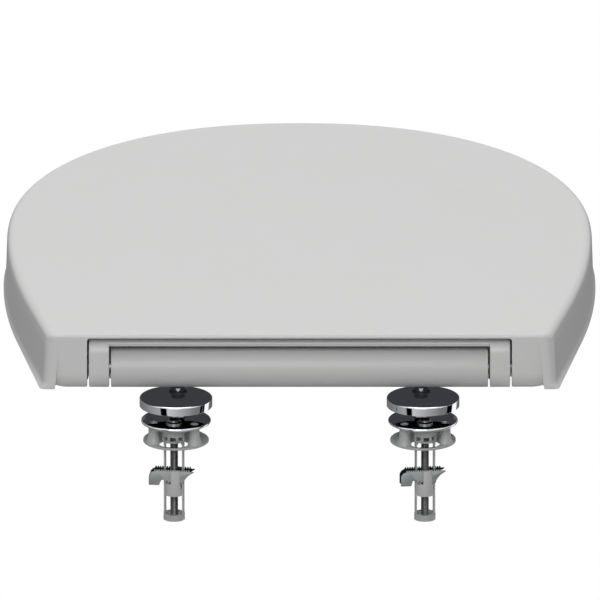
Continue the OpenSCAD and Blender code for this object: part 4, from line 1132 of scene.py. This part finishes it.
class SEAT_OT_toggles(bpy.types.Operator):
    """Builds the toothed toggles, the carriers that hold them and their pivot pins"""
    bl_idname = "toilet_seat.toggles"
    bl_label = "Toggles and carriers"

    def execute(self, context):
        shoulder = -24 * MM
        cheek = cheek_profile() + (0, shoulder)
        rivet = arc(1.3 * MM, 0, 345, 24, (-12.8 * MM, shoulder + 4.75 * MM))
        pivot = arc(0.74 * MM, 0, 345, 24, (-3.9 * MM, shoulder + 1.4 * MM))
        inner, outer = 2.65 * MM, 3.6 * MM
        for side, k in SIDES:
            name = f"toggle_{side}"
            toggle = crosswise(name + "_cast", cheek, -outer, -inner, 0.12 * MM, 2)
            shape_with(toggle, [crosswise("cheek_tool", cheek, inner, outer, 0.12 * MM, 2),
                                crosswise("rivet_tool", rivet, -3.2 * MM, 3.2 * MM, 0.01 * MM)], "UNION")
            shape_with(toggle, [crosswise("pin_tool", pivot, -5 * MM, 5 * MM, 0.01 * MM)], "DIFFERENCE")
            turn_to_fixing(toggle, k)
            settle(toggle, name, "toggle_metal", name)
            across = np.array([-math.sin(k * BASE_TURN), math.cos(k * BASE_TURN)])
            bolt = np.array([k * BOLT_X, 0])

            # Every face except the outer cheek faces gets near-black metal: painted dark reflection on the teeth
            # and ends, and painted shade between the cheeks
            def off_the_cheeks(middle, normal):
                facing = np.abs(normal[:, :2] @ across) > 0.97
                return ~(facing & (np.abs((middle[:, :2] - bolt) @ across) > outer - 0.2 * MM))

            mark_faces(toggle, finish_for("toggle_edge"), off_the_cheeks)
            for kind, slot, width in (("carrier", "carrier_plastic", 0.3), ("toggle_pin", "steel", 0.1)):
                node = f"{kind}_{side}"
                piece = copy_of(node, node + "_finished", width * MM)
                settle(piece, f"carrier_{side}", slot, node)
        return {"FINISHED"}


# Stage

def lamp(name, place, aim, size, watts, tone=(1, 1, 1)):
    data = bpy.data.lights.new(name, "AREA")
    data.shape, data.size, data.energy, data.color = "SQUARE", size, watts, tone
    light = bpy.data.objects.new(name, data)
    light.location = place
    light.rotation_mode = "QUATERNION"
    light.rotation_quaternion = (Vector(aim) - Vector(place)).to_track_quat("-Z", "Y")
    bpy.context.scene.collection.objects.link(light)


def white_where_seen(tree, lit_shader, white_shader, output):
    """Shows the white shader to camera, mirror and glass rays and the lit shader to all others."""
    paths = tree.nodes.new("ShaderNodeLightPath")
    seen = paths.outputs["Is Camera Ray"]
    for label in ("Is Glossy Ray", "Is Transmission Ray"):
        either = tree.nodes.new("ShaderNodeMath")
        either.operation = "MAXIMUM"
        tree.links.new(seen, either.inputs[0])
        tree.links.new(paths.outputs[label], either.inputs[1])
        seen = either.outputs["Value"]
    mix = tree.nodes.new("ShaderNodeMixShader")
    for value, place in ((seen, mix.inputs["Fac"]), (lit_shader, mix.inputs[1]), (white_shader, mix.inputs[2]),
                         (mix.outputs["Shader"], output)):
        tree.links.new(value, place)


def glowing(name):
    """Material that only glows, with its node tree and its emission node."""
    material = bpy.data.materials.new(name)
    material.use_nodes = True
    tree = material.node_tree
    glow = tree.nodes.new("ShaderNodeEmission")
    tree.links.new(glow.outputs["Emission"], tree.nodes["Material Output"].inputs["Surface"])
    return material, tree, glow


def mirror_only(mesh, material):
    """Makes a card that only mirror rays meet, so that polished metal has something dark to show."""
    card = bpy.data.objects.new(mesh.name, mesh)
    card.data.materials.append(material)
    bpy.context.scene.collection.objects.link(card)
    card.visible_camera = card.visible_diffuse = card.visible_transmission = card.visible_shadow = False


class SEAT_OT_stage(bpy.types.Operator):
    """Sets up the floor, the soft light, the white surroundings and the camera"""
    bl_idname = "toilet_seat.stage"
    bl_label = "Stage"

    @staticmethod
    def round_card(stage):
        """Card with a round wall and a round bottom about the part. Its tone changes with the direction, in
        degrees from the camera toward +X; it glows and only mirror rays meet it, so it is a painted reflection
        of dark and bright bands in the polished metal."""
        # Tones of the painted reflection: the bands at 0 are painted dark reflections and the bands at 1.2
        # painted highlights
        keys = np.array([
            (-180, 0.16), (-120, 0.22), (-62, 0.40), (-54, 0.40), (-50, 0.0), (-34, 0.0), (-30, 0.66), (0, 0.5),
            (60, 0.22), (80, 0.2), (84, 0.0), (102, 0.0), (106, 1.2), (126, 1.2), (132, 0.16), (180, 0.16),
        ])
        degrees = np.linspace(-180, 180, 361)
        tone = np.interp(degrees, keys[:, 0], keys[:, 1])
        turn = np.radians(degrees)
        low = MM - stage.floor_drop
        hole_r, wall_r, top = 0.02, 1.2, 0.06
        wall = np.stack([np.column_stack([r * np.sin(turn), -r * np.cos(turn), np.full(361, z)])
                         for r, z in ((hole_r, low), (wall_r, low), (wall_r, top))])
        index = np.arange(3 * 361).reshape(3, 361)
        quads = np.stack([index[:-1, :-1], index[:-1, 1:], index[1:, 1:], index[1:, :-1]], axis=2)
        mesh = bpy.data.meshes.new("round_card")
        mesh.from_pydata(wall.reshape(-1, 3).tolist(), [], quads.reshape(-1, 4).tolist())
        values = np.repeat(np.tile(tone, 3)[:, None], 4, axis=1)
        values[:, 3] = 1
        mesh.color_attributes.new("tone", "FLOAT_COLOR", "POINT").data.foreach_set("color", values.ravel())
        material, tree, glow = glowing("graded_card")
        tone_node = tree.nodes.new("ShaderNodeVertexColor")
        tone_node.layer_name = "tone"
        tree.links.new(tone_node.outputs["Color"], glow.inputs["Color"])
        mirror_only(mesh, material)

    @staticmethod
    def dark_card():
        """Flat card under the seat ring, where the caps and base plates mirror the shade under a seat."""
        half, near, far, z = 0.125, -0.01, 0.3, 0.032
        corners = [(-half, far, z), (half, far, z), (half, near, z), (-half, near, z)]
        mesh = bpy.data.meshes.new("dark_card")
        mesh.from_pydata(corners, [], [(0, 1, 2, 3)])
        material, _, glow = glowing("shade_card")
        glow.inputs["Color"].default_value = (0.05, 0.052, 0.056, 1)
        mirror_only(mesh, material)

    def execute(self, context):
        scene, stage = context.scene, context.scene.seat_stage
        scene.view_settings.view_transform = "Standard"
        pitch = stage.view_pitch
        along = Vector((0, math.cos(pitch), -math.sin(pitch)))
        up = Vector((0, math.sin(pitch), math.cos(pitch)))
        target = Vector(HINGE) + up * stage.view_rise + Vector((0.3 * MM, 0, 0))
        data = bpy.data.cameras.new("camera")
        data.sensor_width = 36
        data.lens = 36 * stage.view_distance / stage.view_width
        data.clip_start, data.clip_end = 1, 60
        camera = bpy.data.objects.new("camera", data)
        camera.location = target - along * stage.view_distance
        camera.rotation_euler = (math.pi / 2 - pitch, 0, 0)
        scene.collection.objects.link(camera)
        scene.camera = camera

        angle = np.linspace(0, 2 * math.pi, 64, endpoint=False)
        rim = np.column_stack([30 * np.cos(angle), 30 * np.sin(angle), np.full(64, -stage.floor_drop)])
        mesh = bpy.data.meshes.new("floor")
        mesh.from_pydata(rim.tolist(), [], [list(range(64))])
        floor = bpy.data.objects.new("floor", mesh)
        scene.collection.objects.link(floor)
        material = bpy.data.materials.new("pale_floor")
        material.use_nodes = True
        tree = material.node_tree
        shader = tree.nodes["Principled BSDF"]
        shader.inputs["Base Color"].default_value = (0.6, 0.6, 0.6, 1)
        shader.inputs["Roughness"].default_value = 0.8
        white = tree.nodes.new("ShaderNodeEmission").outputs["Emission"]
        white_where_seen(tree, shader.outputs["BSDF"], white, tree.nodes["Material Output"].inputs["Surface"])
        mesh.materials.append(material)

        world = bpy.data.worlds.new("surroundings")
        scene.world = world
        world.use_nodes = True
        tree = world.node_tree
        soft = tree.nodes["Background"]
        soft.inputs["Color"].default_value = (1, 1, 1, 1)
        soft.inputs["Strength"].default_value = stage.surround
        seen = tree.nodes.new("ShaderNodeBackground")
        seen.inputs["Color"].default_value = (1, 1, 1, 1)
        seen.inputs["Strength"].default_value = 1.0
        white_where_seen(tree, soft.outputs["Background"], seen.outputs["Background"],
                         tree.nodes["World Output"].inputs["Surface"])

        self.round_card(stage)
        self.dark_card()
        lamp("softbox_over", (0, 0.8, 2.1), (0, 0.15, 0), 2.0, stage.over_watts)
        lamp("softbox_camera", (-0.2, -2.0, 1.5), (0, 0, 0), 1.4, stage.camera_watts)
        return {"FINISHED"}


class SEAT_PT_panel(bpy.types.Panel):
    """Lists the sizes, the finishes and the steps"""
    bl_idname = "SEAT_PT_panel"
    bl_label = "Toilet Seat"
    bl_space_type = "VIEW_3D"
    bl_region_type = "UI"
    bl_category = "Toilet Seat"

    def draw(self, context):
        layout = self.layout
        for name in GROUPS_OF_VALUES:
            values = getattr(context.scene, name)
            box = layout.box()
            for key in values.bl_rna.properties.keys():
                if key not in ("rna_type", "name"):
                    box.prop(values, key)
        for step in STEPS:
            layout.operator(step.bl_idname)


GROUPS_OF_VALUES = {
    "seat_lid": LidSizes, "seat_ring": SeatSizes, "seat_hinge": HingeSizes, "seat_fixing": FixingSizes,
    "seat_finishes": Finishes, "seat_stage": StageSettings,
}
STEPS = (
    SEAT_OT_stage, SEAT_OT_lid, SEAT_OT_ring, SEAT_OT_hinge_bar, SEAT_OT_hinge_parts, SEAT_OT_pads,
    SEAT_OT_posts, SEAT_OT_caps, SEAT_OT_base_plates, SEAT_OT_foot_washers, SEAT_OT_sleeves, SEAT_OT_bolts,
    SEAT_OT_toggles,
)


def register():
    for kind in (*GROUPS_OF_VALUES.values(), *STEPS, SEAT_PT_panel):
        bpy.utils.register_class(kind)
    for name, kind in GROUPS_OF_VALUES.items():
        setattr(bpy.types.Scene, name, PointerProperty(type=kind))


def unregister():
    for name in GROUPS_OF_VALUES:
        delattr(bpy.types.Scene, name)
    for kind in reversed((*GROUPS_OF_VALUES.values(), *STEPS, SEAT_PT_panel)):
        bpy.utils.unregister_class(kind)


def main():
    register()
    for step in STEPS:
        family, action = step.bl_idname.split(".")
        getattr(getattr(bpy.ops, family), action)()


if __name__ == "__main__":
    main()
